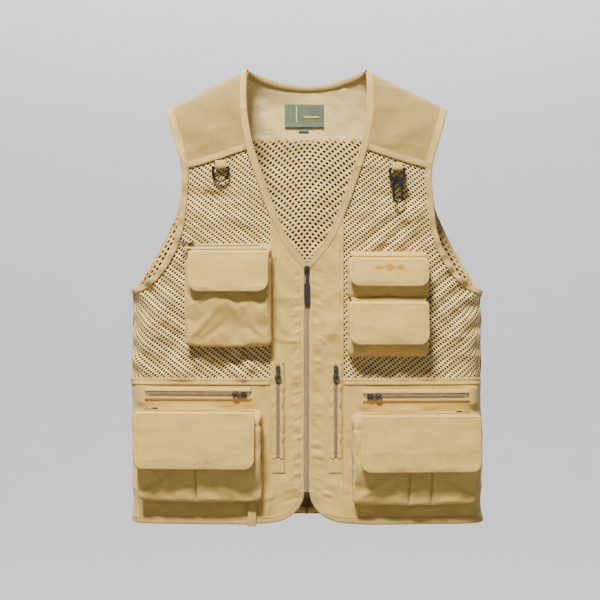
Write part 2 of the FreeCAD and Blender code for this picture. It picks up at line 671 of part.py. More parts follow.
def place_pockets():
    """All five pockets with their flaps, zips and closing patches."""
    loops, sides = [], []
    chest = wall_frame(-120.4, -273)
    front = zipped_pocket("chest_left", "chest_left_wide", "chest_left_deep", "chest_left_fall",
                          "chest_left_high", chest, "chest_zip_long", LEFT, d["chest_left_wide"] / 2 - 4, 1)
    hinge = flap("chest_left", "chest_left_flap_wide", "chest_left_flap_high", chest, front, 1.4,
                 -d["chest_left_fall"])
    loops.append(loop_patches("chest_left_flap_wide", "chest_left_flap_high", hinge))
    sides.append(("chest_left_wide", "chest_left_deep", "chest_left_fall", RIGHT, chest, 6, 100))
    upper, lower = wall_frame(125.5, -294), wall_frame(125.5, -361)
    for name, place, high, flap_high in (
        ("chest_right_upper", upper, "upper_right_high", "upper_right_flap_high"),
        ("chest_right_lower", lower, "lower_pouch_high", "lower_pouch_flap_high"),
    ):
        front = open_pouch(name, "chest_right_wide", "chest_right_deep", high, place)
        hinge = flap(name, "chest_left_flap_wide", flap_high, place, front)
        loops.append(loop_patches("chest_left_flap_wide", flap_high, hinge))
    for name, side, x, z, flap_x in (
        ("lower_left", LEFT, -165.2, -530, -5.6),
        ("lower_right", RIGHT, 165.1, -535, 7.4),
    ):
        place = wall_frame(x, z)
        front = zipped_pocket(name, "skirt_pocket_wide", "skirt_pocket_deep", "skirt_pocket_fall",
                              "skirt_pocket_high", place, "skirt_zip_long", side, d["skirt_zip_long"] / 2 + 4)
        hinge = flap(name, "skirt_flap_wide", "skirt_flap_high", place, front, flap_x, 0)
        loops.append(loop_patches("skirt_flap_wide", "skirt_flap_high", hinge))
        sides.append(("skirt_pocket_wide", "skirt_pocket_deep", "skirt_pocket_fall",
                      -side, place, 8, 95))
    node("loop_patches", group(*loops))
    node("pocket_side_zips", group(*(side_zip(*one) for one in sides)))


# ---------------------------------------------------------------- rings, hook and strap
TAB_OUT = 2.6
BAR_DOWN = 8.0
TABS = {"d_ring": (-133.5, -146.0), "hook": (139.5, -149.0)}


def tab_frame(name):
    return wall_frame(*TABS[name], TAB_OUT)


def bar_frame(name):
    """Frame on the axis of the bar in a tab's bore."""
    return moved(tab_frame(name), 0, -d["tab_thick"] / 2, -BAR_DOWN)


def ring_tabs():
    """Webbing tabs with a tunnel for the bar of the D-ring and of the hook's bail."""
    tabs = []
    for name in TABS:
        tab = cut(
            box("-dims.tab_wide / 2", "-dims.tab_thick", "-dims.tab_high", "dims.tab_wide", "dims.tab_thick",
                "dims.tab_high"),
            rod("-dims.tab_wide", "-dims.tab_thick / 2", f"{-BAR_DOWN}", "dims.wire_radius + dims.bore_clear",
                "2 * dims.tab_wide", axis="x"),
        )
        tab.Placement = tab_frame(name)
        tabs.append(tab)
    node("ring_tabs", group(*tabs))


def half_ring(major, minor, z):
    """Lower half of a wire ring that stands in the XZ plane."""
    obj = doc.addObject("Part::Torus", "half_ring")
    bound(obj, Radius1=major, Radius2=minor)
    obj.Angle3 = 180
    obj.Placement = FreeCAD.Placement(V(), FreeCAD.Rotation(V(1, 0, 0), -90))
    return put(obj, "0", "0", z)


def d_ring():
    """Closed wire D: a bar, two straight sides and a half circle."""
    wire, major = "dims.wire_radius", "dims.ring_radius"
    pieces = [rod(f"-{major}", "0", "0", wire, f"2 * {major}", axis="x"), half_ring(major, wire, "-dims.ring_side")]
    for side in (LEFT, RIGHT):
        pieces.append(rod(f"{side} * {major}", "0", "-dims.ring_side", wire, "dims.ring_side"))
        pieces.append(ball(f"{side} * {major}", "0", "0", wire))
    node("d_ring", fuse(*pieces), bar_frame("d_ring"))


def ball(x, y, z, radius):
    return put(bound(doc.addObject("Part::Sphere", "ball"), Radius=radius), x, y, z)


def hook_base():
    """Bail that hangs in the tab, with a foot bored for the swivel pin."""
    wire, half, long = "dims.wire_radius", "dims.bail_half", "dims.bail_long"
    pieces = [rod(f"-{half} - {wire}", "0", "0", wire, f"2 * ({half} + {wire})", axis="x")]
    for side in (LEFT, RIGHT):
        pieces.append(rod(f"{side} * {half}", "0", f"-{long}", wire, long))
    foot = box(f"-{half} - {wire}", f"-dims.swivel_out - 2 * {wire}", f"-{long} - dims.foot_high",
               f"2 * ({half} + {wire})", f"dims.swivel_out + 3 * {wire}", "dims.foot_high")
    bore = rod("0", "-dims.swivel_out", f"-{long} - 2 * dims.foot_high", "dims.swivel_radius + dims.swivel_clear",
               "3 * dims.foot_high")
    node("hook_base", cut(fuse(*pieces, foot), bore), bar_frame("hook"))


HEAD_GAP, HEAD_HIGH, HEAD_RADIUS = 0.3, 1.4, 3.4
YOKE_HIGH, YOKE_HALF, YOKE_DEEP = 4.0, 8.6, 6.0
EAR_THICK, EAR_LONG, EAR_HALF = 1.0, 4.4, 2.0
EAR_GAP = 0.3
TIP_LONG, TIP_GAP = 5.0, 0.4
PIN_BELOW_YOKE, GATE_ABOVE_PIN = 2.0, 0.8
TOP_Z = "(-dims.bail_long - dims.foot_high)"


def gate_pin_z():
    return f"({TOP_Z} - {HEAD_GAP + YOKE_HIGH + PIN_BELOW_YOKE})"


def ring_z():
    return f"({TOP_Z} - {HEAD_GAP + YOKE_HIGH} - dims.hook_long)"


def snap_hook():
    """Swivel pin with its head, the hook's shoulder, its side, round end and tip, and the gate's ears."""
    radius, wire = "dims.hook_radius", "dims.hook_wire"
    yoke_z = f"{TOP_Z} - {HEAD_GAP + YOKE_HIGH}"
    pieces = [
        rod("0", "0", yoke_z, "dims.swivel_radius", f"dims.foot_high + {2 * HEAD_GAP + YOKE_HIGH + HEAD_HIGH}"),
        rod("0", "0", f"{TOP_Z} + dims.foot_high + {HEAD_GAP}", f"{HEAD_RADIUS}", f"{HEAD_HIGH}"),
        box(f"{-YOKE_HALF}", f"{-YOKE_DEEP / 2}", yoke_z, f"{2 * YOKE_HALF}", f"{YOKE_DEEP}", f"{YOKE_HIGH}"),
        rod(f"-{radius}", "0", ring_z(), wire, f"dims.hook_long + {YOKE_HIGH / 2}"),
        half_ring(radius, wire, ring_z()),
        rod(radius, "0", ring_z(), wire, f"{TIP_LONG}"),
    ]
    for side in (LEFT, RIGHT):
        inner = f"(dims.gate_radius + {EAR_GAP})"
        y = inner if side == RIGHT else f"-{inner} - {EAR_THICK}"
        ear = box(f"{radius} - {EAR_HALF}", y, f"{yoke_z} - {EAR_LONG}", f"{2 * EAR_HALF}", f"{EAR_THICK}",
                  f"{EAR_LONG}")
        hole = rod(radius, f"{y} - 1", gate_pin_z(), "dims.gate_pin + 0.1", f"{EAR_THICK + 2}", axis="y")
        pieces.append(cut(ear, hole))
    place = moved(bar_frame("hook"), 0, -d["swivel_out"], 0)
    node("snap_hook", fuse(*pieces), place)


def hook_gate():
    """Sprung gate between the hook's shoulder and its tip, on a pin in the two ears."""
    radius, gate = "dims.hook_radius", "dims.gate_radius"
    low = f"({ring_z()} + {TIP_LONG + TIP_GAP})"
    arm = rod(radius, "0", low, gate, f"{gate_pin_z()} + {GATE_ABOVE_PIN} - {low}")
    half_pin = f"({gate} + {EAR_GAP + EAR_THICK})"
    pin = rod(radius, f"-{half_pin}", gate_pin_z(), "dims.gate_pin", f"2 * {half_pin}", axis="y")
    node("hook_gate", fuse(arm, pin), moved(bar_frame("hook"), 0, -d["swivel_out"], 0))


def strap_end():
    """Loose end of webbing that hangs from under the lower left pocket."""
    strap = box("-dims.strap_wide / 2", "-dims.strap_thick", "-dims.strap_long", "dims.strap_wide",
                "dims.strap_thick", "dims.strap_long")
    node("strap_end", group(strap), wall_frame(-85.0, -671.0, 3.0))


LABEL_X, LABEL_TOP = -4.0, -43.0
SIZE_TAB = (16.0, 8.0)


def neck_label():
    """Woven label and the small tab under it, inside the back of the neck."""
    behind = -d["lining_gap"] - d["lining_thick"] - CLEAR
    layer = body_layer(behind, behind - d["lining_thick"], BACK)
    bottom = LABEL_TOP - d["label_high"]
    label = Part.makeBox(d["label_wide"], FAR, d["label_high"], V(LABEL_X - d["label_wide"] / 2, 0, bottom))
    tab = Part.makeBox(SIZE_TAB[0], FAR, SIZE_TAB[1], V(LABEL_X - SIZE_TAB[0] / 2 - 1, 0, bottom - SIZE_TAB[1] - CLEAR))
    panel("neck_label", Part.makeCompound([layer.common(label), layer.common(tab)]))


# ---------------------------------------------------------------- the vest
front_cloth()
back_cloth()
bindings()
neck_label()
main_zip()
cloth_zips()
place_pockets()
ring_tabs()
d_ring()
hook_base()
snap_hook()
hook_gate()
strap_end()

doc.recompute()
for obj in doc.Objects:
    if "Invalid" in obj.State or "Error" in obj.State:
        raise RuntimeError(f"{obj.Label}: {obj.State}")

os.makedirs("parts", exist_ok=True)
for name, obj in nodes.items():
    shape = obj.Shape
    if shape.isNull() or not shape.isValid() or not shape.Solids:
        raise RuntimeError(f"{name}: bad shape")
    shape.exportStep(f"parts/{name}.step")
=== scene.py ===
import bpy
import bmesh
import json
import math
import numpy as np
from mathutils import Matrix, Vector, geometry
from mathutils.bvhtree import BVHTree


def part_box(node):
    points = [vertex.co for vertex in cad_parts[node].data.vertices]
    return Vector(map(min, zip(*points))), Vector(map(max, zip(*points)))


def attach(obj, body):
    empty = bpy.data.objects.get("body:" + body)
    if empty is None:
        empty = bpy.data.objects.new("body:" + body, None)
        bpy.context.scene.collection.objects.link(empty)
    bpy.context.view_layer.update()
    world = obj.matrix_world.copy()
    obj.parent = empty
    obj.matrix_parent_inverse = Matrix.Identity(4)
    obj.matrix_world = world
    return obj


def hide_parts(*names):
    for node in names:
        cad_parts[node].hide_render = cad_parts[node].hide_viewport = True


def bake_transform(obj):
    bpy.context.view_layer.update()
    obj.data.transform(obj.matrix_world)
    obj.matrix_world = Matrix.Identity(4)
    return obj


# Looks of the fishing vest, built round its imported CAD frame.
#
# Lengths in this script are millimetres, in the row's frame, until make_mesh() turns them into metres.
# "Left" and "right" are as seen from the front, which faces -Y.
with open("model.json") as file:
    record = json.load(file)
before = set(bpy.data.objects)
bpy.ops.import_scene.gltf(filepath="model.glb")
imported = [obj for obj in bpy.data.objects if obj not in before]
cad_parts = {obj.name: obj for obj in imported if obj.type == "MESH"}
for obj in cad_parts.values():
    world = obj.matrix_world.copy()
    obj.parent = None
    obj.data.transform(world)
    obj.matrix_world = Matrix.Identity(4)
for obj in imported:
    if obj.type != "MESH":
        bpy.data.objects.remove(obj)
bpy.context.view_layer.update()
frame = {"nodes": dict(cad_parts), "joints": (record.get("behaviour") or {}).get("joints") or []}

MM = 0.001
FRONT, BACK = -1, 1
LEFT, RIGHT = -1, 1
ROOT = "vest"
joints = {joint["name"]: joint for joint in frame["joints"]}


def stacked(*columns):
    """Points from their coordinates, any of which may be one number for all of them."""
    return np.stack(np.broadcast_arrays(*columns), axis=-1).astype(float)


def grid_faces(rows, wide):
    """Quads of a grid of points, row after row."""
    return [(r * wide + c, r * wide + c + 1, (r + 1) * wide + c + 1, (r + 1) * wide + c)
            for r in range(rows - 1) for c in range(wide - 1)]


def smooth(x, low, high):
    """0 below low, 1 above high and an even curve between them."""
    t = np.clip((x - low) / (high - low), 0, 1)
    return t * t * (3 - 2 * t)


def unit(vectors):
    return vectors / (np.linalg.norm(vectors, axis=-1, keepdims=True) + 1e-12)


# ---------------------------------------------------------------- the body's form
HALF_WIDTH, HALF_THICK, FOLD_HIGH, NECK_HALF = 276.0, 60.0, 170.0, 104.6
SHOULDER_FALL, ROUND_NECK, PLAN_BOW, SIDE_POWER = 0.512, 30.0, 0.28, 24
HEM, WAIST, UNDERARM = -708.0, -492.5, -347
PLACKET, SHOULDER_END = 57.0, 222


def shoulder(x):
    """Height of the shoulder line at x."""
    return -SHOULDER_FALL * (np.hypot(x, ROUND_NECK) - math.hypot(NECK_HALF, ROUND_NECK))


def plan_depth(x):
    """Half the vest's depth at x."""
    share = np.minimum(np.abs(x) / HALF_WIDTH, 1.0)
    return HALF_THICK * (1 - PLAN_BOW * share**2) * np.sqrt(np.maximum(0, 1 - share**SIDE_POWER))


def run_of(first, second):
    """Length along a line through the given points, from its start."""
    return np.concatenate([[0], np.cumsum(np.hypot(np.diff(first), np.diff(second)))])


# Pattern coordinates: u is measured along the cloth from the middle to the side, v down from the shoulder.
X_TABLE = HALF_WIDTH * np.sin(np.linspace(0, np.pi / 2, 1500))
U_TABLE = run_of(X_TABLE, plan_depth(X_TABLE))
U_SIDE = U_TABLE[-1]
ANGLE_TABLE = np.linspace(0, np.pi / 2, 500)
V_TABLE = run_of(FOLD_HIGH * (1 - np.cos(ANGLE_TABLE)), 0.95 * HALF_THICK * np.sin(ANGLE_TABLE))
V_FOLD = V_TABLE[-1]


def to_pattern(points):
    """Pattern (u, v) of (x, z) points on one side of the vest."""
    x, z = np.asarray(points, float).T
    u = np.sign(x) * np.interp(np.abs(x), X_TABLE, U_TABLE)
    drop = shoulder(x) - z
    angle = np.arccos(1 - np.clip(drop / FOLD_HIGH, 0, 1))
    v = np.where(drop < FOLD_HIGH, np.interp(angle, ANGLE_TABLE, V_TABLE), V_FOLD + drop - FOLD_HIGH)
    return stacked(u, v)


def form(uv, side):
    """Points of the smooth form. Past the side, or above the shoulder, the pattern goes on over the fold."""
    u, v = uv.T
    side = np.where(v < 0, -side, side)
    over = np.abs(u) > U_SIDE
    side = np.where(over, -side, side)
    along = np.where(over, 2 * U_SIDE - np.abs(u), np.abs(u))
    x = np.sign(u) * np.interp(along, U_TABLE, X_TABLE)
    v = np.abs(v)
    angle = np.interp(v, V_TABLE, ANGLE_TABLE)
    drop = np.where(v < V_FOLD, FOLD_HIGH * (1 - np.cos(angle)), FOLD_HIGH + v - V_FOLD)
    return stacked(x, side * plan_depth(x) * np.sin(angle), shoulder(x) - drop)


def normals(uv, side, step=0.6):
    """Outward normals of the smooth form."""
    across = form(uv + [step, 0], side) - form(uv - [step, 0], side)
    down = form(uv + [0, step], side) - form(uv - [0, step], side)
    normal = side * np.cross(across, down)
    flat = np.linalg.norm(normal, axis=1) < 1e-9
    normal[flat] = (0, side, 0)
    return normal / np.linalg.norm(normal, axis=1)[:, None]


# ---------------------------------------------------------------- folds and creases of the cloth
def lattice(cell, seed):
    """A fixed number from -1 to 1 for each cell of a grid."""
    x, y, z = cell.T
    n = (x * 374761393 + y * 668265263 + z * 2147483647 + seed * 974634777) & 0xFFFFFFFF
    n = ((n ^ (n >> 13)) * 1274126177) & 0xFFFFFFFF
    return ((n ^ (n >> 16)) & 0xFFFF) / 32767.5 - 1


def noise(points, scale, seed):
    """Smooth noise from -1 to 1. scale is a length, or one for each axis."""
    q = points / np.asarray(scale, float) + seed * 7.31
    cell = np.floor(q).astype(np.int64)
    f = q - cell
    w = f * f * f * (f * (f * 6 - 15) + 10)
    total = np.zeros(len(q))
    for i in (0, 1):
        for j in (0, 1):
            for k in (0, 1):
                share = np.abs(1 - i - w[:, 0]) * np.abs(1 - j - w[:, 1]) * np.abs(1 - k - w[:, 2])
                total += share * lattice(cell + [i, j, k], seed)
    return total


def fold(points, start, end, width, height):
    """A long fold from start to end, (x, z), highest in its middle."""
    a, b = np.array(start, float), np.array(end, float)
    run = b - a
    q = points[:, [0, 2]] - a
    t = np.clip(q @ run / (run @ run), 0, 1)
    off = np.abs(q @ np.array([-run[1], run[0]])) / np.linalg.norm(run)
    beyond = np.linalg.norm(q - t[:, None] * run, axis=1)
    ends = np.sin(np.pi * np.clip(t, 0.02, 0.98)) ** 0.6
    return height * ends * np.exp(-((np.maximum(off, beyond) / width) ** 2))


def ridges(points, scale, seed):
    """Sharp-topped creases from 0 to 1, running where smooth noise passes nought."""
    warp = 6.0 * noise(points, 38, seed + 5)
    return (1 - np.abs(noise(points + warp[:, None] * [0.6, 0, 0.8], scale, seed))) ** 3


# Each fold: start and end (x, z), width, height.
FRONT_FOLDS = [
    ((-262, -455), (-205, -335), 13, 3.4),
    ((-235, -478), (-160, -352), 12, -2.6),
    ((-205, -487), (-140, -430), 11, 2.6),
    ((-150, -486), (-95, -436), 10, -2.2),
    ((-110, -488), (-66, -440), 9, 2.4),
    ((-268, -400), (-232, -320), 10, -2.4),
    ((-185, -175), (-120, -262), 15, -2.4),
    ((-110, -150), (-96, -255), 14, 2.0),
    ((-172, -190), (-150, -268), 10, 2.0),
    ((262, -460), (200, -350), 13, 3.2),
    ((238, -482), (172, -392), 12, -2.6),
    ((200, -488), (150, -452), 11, 2.4),
    ((140, -486), (84, -452), 10, -2.0),
    ((270, -395), (215, -300), 11, -2.6),
    ((182, -185), (150, -275), 13, 2.2),
    ((-200, -222), (-84, -238), 11, 2.4),
    ((-206, -196), (-88, -204), 9, -2.2),
    ((200, -232), (84, -226), 11, 2.2),
    ((204, -204), (96, -198), 9, -2.0),
    ((112, -150), (104, -270), 14, -2.0),
    ((-196, -78), (-120, -118), 13, 2.0),
    ((-150, -40), (-112, -96), 12, -1.6),
    ((-212, -96), (-150, -148), 9, -1.5),
    ((196, -78), (120, -118), 13, 2.0),
    ((156, -40), (118, -100), 12, -1.6),
    ((-258, -520), (-205, -512), 7, 1.4),
    ((-200, -516), (-120, -524), 6, -1.6),
    ((205, -524), (120, -528), 7, 1.6),
    ((262, -518), (190, -530), 7, -1.4),
    ((-272, -560), (-262, -690), 6, -1.6),
    ((272, -560), (262, -690), 6, -1.6),
    ((-52, -640), (-66, -700), 7, 1.8),
    ((52, -640), (66, -700), 7, 1.8),
    ((-22, -420), (-50, -380), 9, 1.6),
    ((22, -430), (52, -390), 9, 1.4),
]
BACK_FOLDS = [
    ((-190, -170), (-60, -330), 22, 3.0),
    ((190, -180), (70, -340), 22, 3.0),
    ((-230, -330), (-120, -470), 20, -3.0),
    ((235, -340), (120, -480), 20, -3.0),
    ((-40, -190), (-25, -420), 24, -2.6),
    ((60, -330), (40, -600), 24, 2.6),
    ((-160, -480), (-120, -690), 22, 2.8),
    ((170, -500), (150, -690), 22, -2.6),
    ((-250, -520), (-215, -690), 14, 2.2),
    ((250, -520), (222, -690), 14, 2.2),
    ((-90, -60), (-20, -110), 16, -1.6),
    ((95, -62), (30, -112), 16, 1.6),
]


def puckers(points):
    """Small level puckers where the cloth is sewn to the front zip and to the strips' outer seams."""
    x, z = np.abs(points[:, 0]), points[:, 2]
    band = smooth(z, -690, -660) * (1 - smooth(z, -330, -300))
    slanted = points + stacked(0, 0, 0.25 * x)
    row = noise(slanted, (26, 400, 9), 5) + 0.8 * noise(slanted, (15, 400, 5.5), 6)
    beside_zip = np.exp(-(((x - 15) / 10) ** 2))
    beside_pocket_zip = 0.8 * np.exp(-(((x - 33) / 8) ** 2)) + 0.6 * np.exp(-(((x - 58) / 8) ** 2))
    low = smooth(-z, 430, 470)
    return 1.9 * band * row * (beside_zip + beside_pocket_zip * low)


def net_folds(points):
    """The net sags in slanting folds from the armholes down towards the waist's middle."""
    x, z = np.abs(points[:, 0]), points[:, 2]
    across = 0.62 * x - 0.78 * z
    warp = 9.0 * noise(points, (60, 80, 60), 14)
    wave = np.sin((across + warp) * 2 * np.pi / 27)
    share = smooth(x, 62, 95) * smooth(z, WAIST, WAIST + 25) * (1 - smooth(z, -275, -190))
    return 3.0 * share * (0.55 + 0.45 * noise(points, (45, 60, 60), 15)) * wave


def drape(points):
    """How far the cloth stands off the smooth form, in millimetres."""
    front = smooth(-points[:, 1], 0, 18)
    back = smooth(points[:, 1], 0, 18)
    x, z = points[:, 0], points[:, 2]
    out = 1.8 * noise(points, (70, 90, 95), 1) + 0.9 * noise(points, (26, 40, 30), 2)
    slant = stacked(x + 0.8 * z, points[:, 1], z - 0.8 * x)
    out += 0.9 * noise(slant, (17, 60, 75), 3)
    out += 2.0 * ridges(points, (52, 60, 30), 8) - 0.7
    out += 1.1 * ridges(slant, (28, 60, 60), 9) - 0.4
    out += front * net_folds(points)
    for one in FRONT_FOLDS:
        out += 1.5 * front * fold(points, *one)
    for one in BACK_FOLDS:
        out += back * fold(points, *one)
    out += front * puckers(points)
    # the cloth is calm beside the front zip and towards the shoulders
    calm = 1 - 0.75 * np.exp(-((x / 12) ** 2)) * front
    calm *= 1 - 0.5 * smooth(z, -80, 0)
    out *= calm
    return np.clip(out, -6.0, 6.0) * quiet_near_hardware(points)


# Cloth lies still where hard pieces are fastened to it: centre (x, z) and half sizes.
STILL = []


def still_at(node, margin=10.0):
    """Keeps the cloth still round a node's box."""
    low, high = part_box(node)
    centre = ((low.x + high.x) / 2 / MM, (low.z + high.z) / 2 / MM)
    half = ((high.x - low.x) / 2 / MM + margin, (high.z - low.z) / 2 / MM + margin)
    STILL.append((centre, half))


def quiet_near_hardware(points):
    """Share of the folds left at each point: 0 under a still place, 1 away from it."""
    calm = np.ones(len(points))
    front = points[:, 1] < 0
    for (x, z), (wide, high) in STILL:
        far = np.maximum(np.abs(points[:, 0] - x) / wide, np.abs(points[:, 2] - z) / high)
        calm = np.minimum(calm, np.where(front, smooth(far, 0.75, 1.35), 1))
    return calm


def cloth_points(uv, side, offset=0.0):
    """Points at an offset out from the draped cloth, and their normals."""
    base = form(uv, side)
    normal = normals(uv, side)
    out = offset + zip_beds(base, drape(base))
    return base + normal * out[:, None], normal


# ---------------------------------------------------------------- outlines
FRONT_EDGE = 4.4
NECK = [(104.6, 0), (103, -64), (94.6, -117.4), (79, -168.5), (55.8, -233), (35.7, -274),
        (FRONT_EDGE, -312.5)]
FRONT_ARM = [(SHOULDER_END, -59), (207, -108), (194, -157), (196, -205), (201, -250), (215, -290),
             (240, -325), (HALF_WIDTH, UNDERARM)]
BACK_ARM = [(SHOULDER_END, -59), (209, -105), (201, -150), (205, -205), (219, -242), (242, -288),
            (262, -320), (HALF_WIDTH, UNDERARM)]
YOKE_SEAM = [(98, -129), (145, -144), (195, -158)]
HEM_CORNER = [(FRONT_EDGE, -655), (8, -673), (20, -690), (41, -702), (92, -708)]
BACK_NECK_DEEP, BACK_YOKE, FACING = 23.0, -150.0, -105.0


def spline(points, step=4.0):
    """Smooth open curve through the points, as points about step apart (centripetal Catmull-Rom)."""
    p = np.asarray(points, float)
    p = np.vstack([2 * p[0] - p[1], p, 2 * p[-1] - p[-2]])
    line = []
    for a, b, c, e in zip(p, p[1:], p[2:], p[3:]):
        t = np.cumsum([0] + [math.sqrt(np.linalg.norm(q - r)) for q, r in ((b, a), (c, b), (e, c))])
        count = max(2, int(np.linalg.norm(c - b) / step) + 1)
        for s in np.linspace(t[1], t[2], count, endpoint=False):
            ab = a + (b - a) * (s - t[0]) / (t[1] - t[0])
            bc = b + (c - b) * (s - t[1]) / (t[2] - t[1])
            ce = c + (e - c) * (s - t[2]) / (t[3] - t[2])
            abc = ab + (bc - ab) * (s - t[0]) / (t[2] - t[0])
            bce = bc + (ce - bc) * (s - t[1]) / (t[3] - t[1])
            line.append(abc + (bce - abc) * (s - t[1]) / (t[2] - t[1]))
    line.append(p[-2])
    return np.array(line)


def spaced(line, step, closed=False):
    """The same line with points about step apart."""
    line = np.asarray(line, float)
    if closed:
        line = np.vstack([line, line[:1]])
    along = np.concatenate([[0], np.cumsum(np.linalg.norm(np.diff(line, axis=0), axis=1))])
    at = np.linspace(0, along[-1], max(2, int(round(along[-1] / step)) + 1))
    out = np.stack([np.interp(at, along, line[:, k]) for k in range(line.shape[1])], axis=1)
    return out[:-1] if closed else out


def mirrored(points, side):
    return np.asarray(points, float) * [side, 1]


def joined(*parts):
    """One outline from several stretches, without the points they share."""
    line = [np.asarray(parts[0], float)]
    for part in parts[1:]:
        part = np.asarray(part, float)
        if np.linalg.norm(part[0] - line[-1][-1]) < 0.5:
            part = part[1:]
        line.append(part)
    outline = np.vstack(line)
    return outline[:-1] if np.linalg.norm(outline[0] - outline[-1]) < 0.5 else outline


def straight(*corners, step=4.0):
    return spaced(np.array(corners, float), step)


def below(line, z):
    return line[line[:, 1] <= z]


def above(line, z):
    return line[line[:, 1] >= z]


NECK_LINE = spline(NECK)
FRONT_ARM_LINE = spline(FRONT_ARM)
BACK_ARM_LINE = spline(BACK_ARM)
YOKE_LINE = spline(YOKE_SEAM)
CORNER_LINE = spline(HEM_CORNER)


def at_height(line, z):
    """Distance from the middle where a falling line passes a height."""
    return float(np.interp(-z, -line[:, 1], line[:, 0]))


def shoulder_line(a, b):
    x = np.linspace(a, b, max(2, int(abs(b - a) / 4)))
    return stacked(x, shoulder(x))


def back_neck_line():
    """Back neckline from the left neck point to the right one, an arc of a circle."""
    radius = (NECK_HALF**2 + BACK_NECK_DEEP**2) / (2 * BACK_NECK_DEEP)
    x = np.linspace(-NECK_HALF, NECK_HALF, 54)
    return stacked(x, radius - BACK_NECK_DEEP - np.sqrt(radius**2 - x**2))


# ---------------------------------------------------------------- meshes
def make_mesh(name, points, faces, material, body=ROOT, slot=None, replaces=()):
    """A smooth-shaded piece from points in millimetres, riding on a body of the frame."""
    mesh = bpy.data.meshes.new(name)
    mesh.from_pydata((np.asarray(points, float) * MM).tolist(), [], [tuple(map(int, f)) for f in faces])
    mesh.update()
    mesh.polygons.foreach_set("use_smooth", [True] * len(mesh.polygons))
    piece = bpy.data.objects.new(name, mesh)
    bpy.context.scene.collection.objects.link(piece)
    mesh.materials.append(material)
    if replaces:
        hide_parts(*replaces)
    if body:
        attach(piece, body)
    return piece


def solidify(piece, thick, offset=-1.0):
    """Gives a surface its thickness: behind its face at offset -1, before it at 1."""
    change = piece.modifiers.new("thickness", "SOLIDIFY")
    change.thickness = thick * MM
    change.offset = offset
    change.use_quality_normals = True
    return piece


def inside(points, outline):
    """Which points are inside a closed outline."""
    x, y = points[:, 0][:, None], points[:, 1][:, None]
    ax, ay = outline.T
    bx, by = np.roll(outline, -1, axis=0).T
    cross = (ay > y) != (by > y)
    with np.errstate(divide="ignore", invalid="ignore"):
        at = (bx - ax) * (y - ay) / (by - ay) + ax
    return (np.sum(cross & (x < at), axis=1) % 2) == 1


def distance(points, line, closed=True):
    """Distance of each point to a line."""
    a = line if closed else line[:-1]
    b = np.roll(line, -1, axis=0) if closed else line[1:]
    run = b - a
    long = np.maximum((run**2).sum(axis=1), 1e-9)
    best = np.empty(len(points))
    for k in range(0, len(points), 2000):
        q = points[k:k + 2000, None, :] - a[None]
        t = np.clip((q * run).sum(axis=2) / long, 0, 1)
        best[k:k + 2000] = np.sqrt(((q - t[..., None] * run) ** 2).sum(axis=2).min(axis=1))
    return best


def signed_area(outline):
    """Area inside a closed outline, negative if it runs clockwise."""
    after = np.roll(outline, -1, axis=0)
    return 0.5 * np.sum(outline[:, 0] * after[:, 1] - after[:, 0] * outline[:, 1])


def turned_inwards(outline, amount):
    """Closed outline moved inwards by amount, without the points that fold over at corners."""
    run = np.roll(outline, -1, axis=0) - np.roll(outline, 1, axis=0)
    normal = stacked(-run[:, 1], run[:, 0]) * math.copysign(1, signed_area(outline))
    normal /= np.linalg.norm(normal, axis=1)[:, None] + 1e-9
    moved = outline + normal * amount
    return moved[distance(moved, outline) > abs(amount) * 0.93]


def filled(outline, step, rows=()):
    """Triangles inside an outline: even points, and rows of points along the edge for its seams."""
    outline = spaced(outline, step, closed=True)
    if signed_area(outline) < 0:
        outline = outline[::-1]
    rings = [turned_inwards(outline, row) for row in rows]
    reach = (max(rows) if rows else 0) + 0.55 * step
    low, high = outline.min(axis=0), outline.max(axis=0)
    grid = []
    for k, v in enumerate(np.arange(low[1], high[1], step * 0.866)):
        us = np.arange(low[0] + (k % 2) * step / 2, high[0], step)
        grid.append(stacked(us, v))
    grid = np.vstack(grid)
    grid = grid[inside(grid, outline)]
    grid = grid[distance(grid, outline) > reach]
    points = np.vstack([outline] + rings + [grid])
    count = len(outline)
    made = geometry.delaunay_2d_cdt([Vector(p) for p in points], [], [list(range(count))], 1, 1e-4)
    return np.array([tuple(p) for p in made[0]]), made[2], outline


SEAM_ROWS = (1.6, 5.0, 6.0, 7.0)
STITCH_FROM_EDGE = 6.0


def seamed(points, outline, groove=0.38, edge=0.5):
    """Relief of a sewn edge: the turned-under edge is thicker, and the stitches pull a groove into it."""
    far = distance(points, outline)
    out = edge * (1 - smooth(far, 6.2, 8.5)) - groove * np.exp(-(((far - STITCH_FROM_EDGE) / 0.75) ** 2))
    return out + seam_puckers(points, far)


def seam_puckers(points, far):
    """The stitches gather the cloth a little along an edge."""
    flat = stacked(*points.T, 0)
    return 0.42 * noise(flat, 7.5, 25) * np.exp(-(((far - 5) / 5.5) ** 2))


def cloth_panel(name, outline, side, node, material, slot="khaki_cloth", offset=0.0, thick=1.2, step=4.0,
                relief=True, inner=None):
    """A panel cut to an (x, z) outline, hung on the form. inner is the material of its inside."""
    pattern = to_pattern(joined(outline))
    uv, faces, edge = filled(pattern, step, SEAM_ROWS if relief else ())
    out = np.full(len(uv), float(offset))
    if relief:
        out += seamed(uv, edge)
    points, _ = cloth_points(uv, side, out)
    if side == FRONT:
        faces = [f[::-1] for f in faces]
    piece = make_mesh(name, points, faces, material, slot=slot, replaces=[node] if node else ())
    change = solidify(piece, thick).modifiers["thickness"]
    if inner is not None:
        piece.data.materials.append(inner)
        change.material_offset = 1
    return piece


# ---------------------------------------------------------------- materials
def linear(red, green, blue):
    """Linear colour from 0-255 screen values."""
    shares = [value / 255 for value in (red, green, blue)]
    return tuple(((c + 0.055) / 1.055) ** 2.4 if c > 0.04 else c / 12.92 for c in shares)


def shaded(colour, share):
    return tuple(min(1.0, c * share) for c in colour)


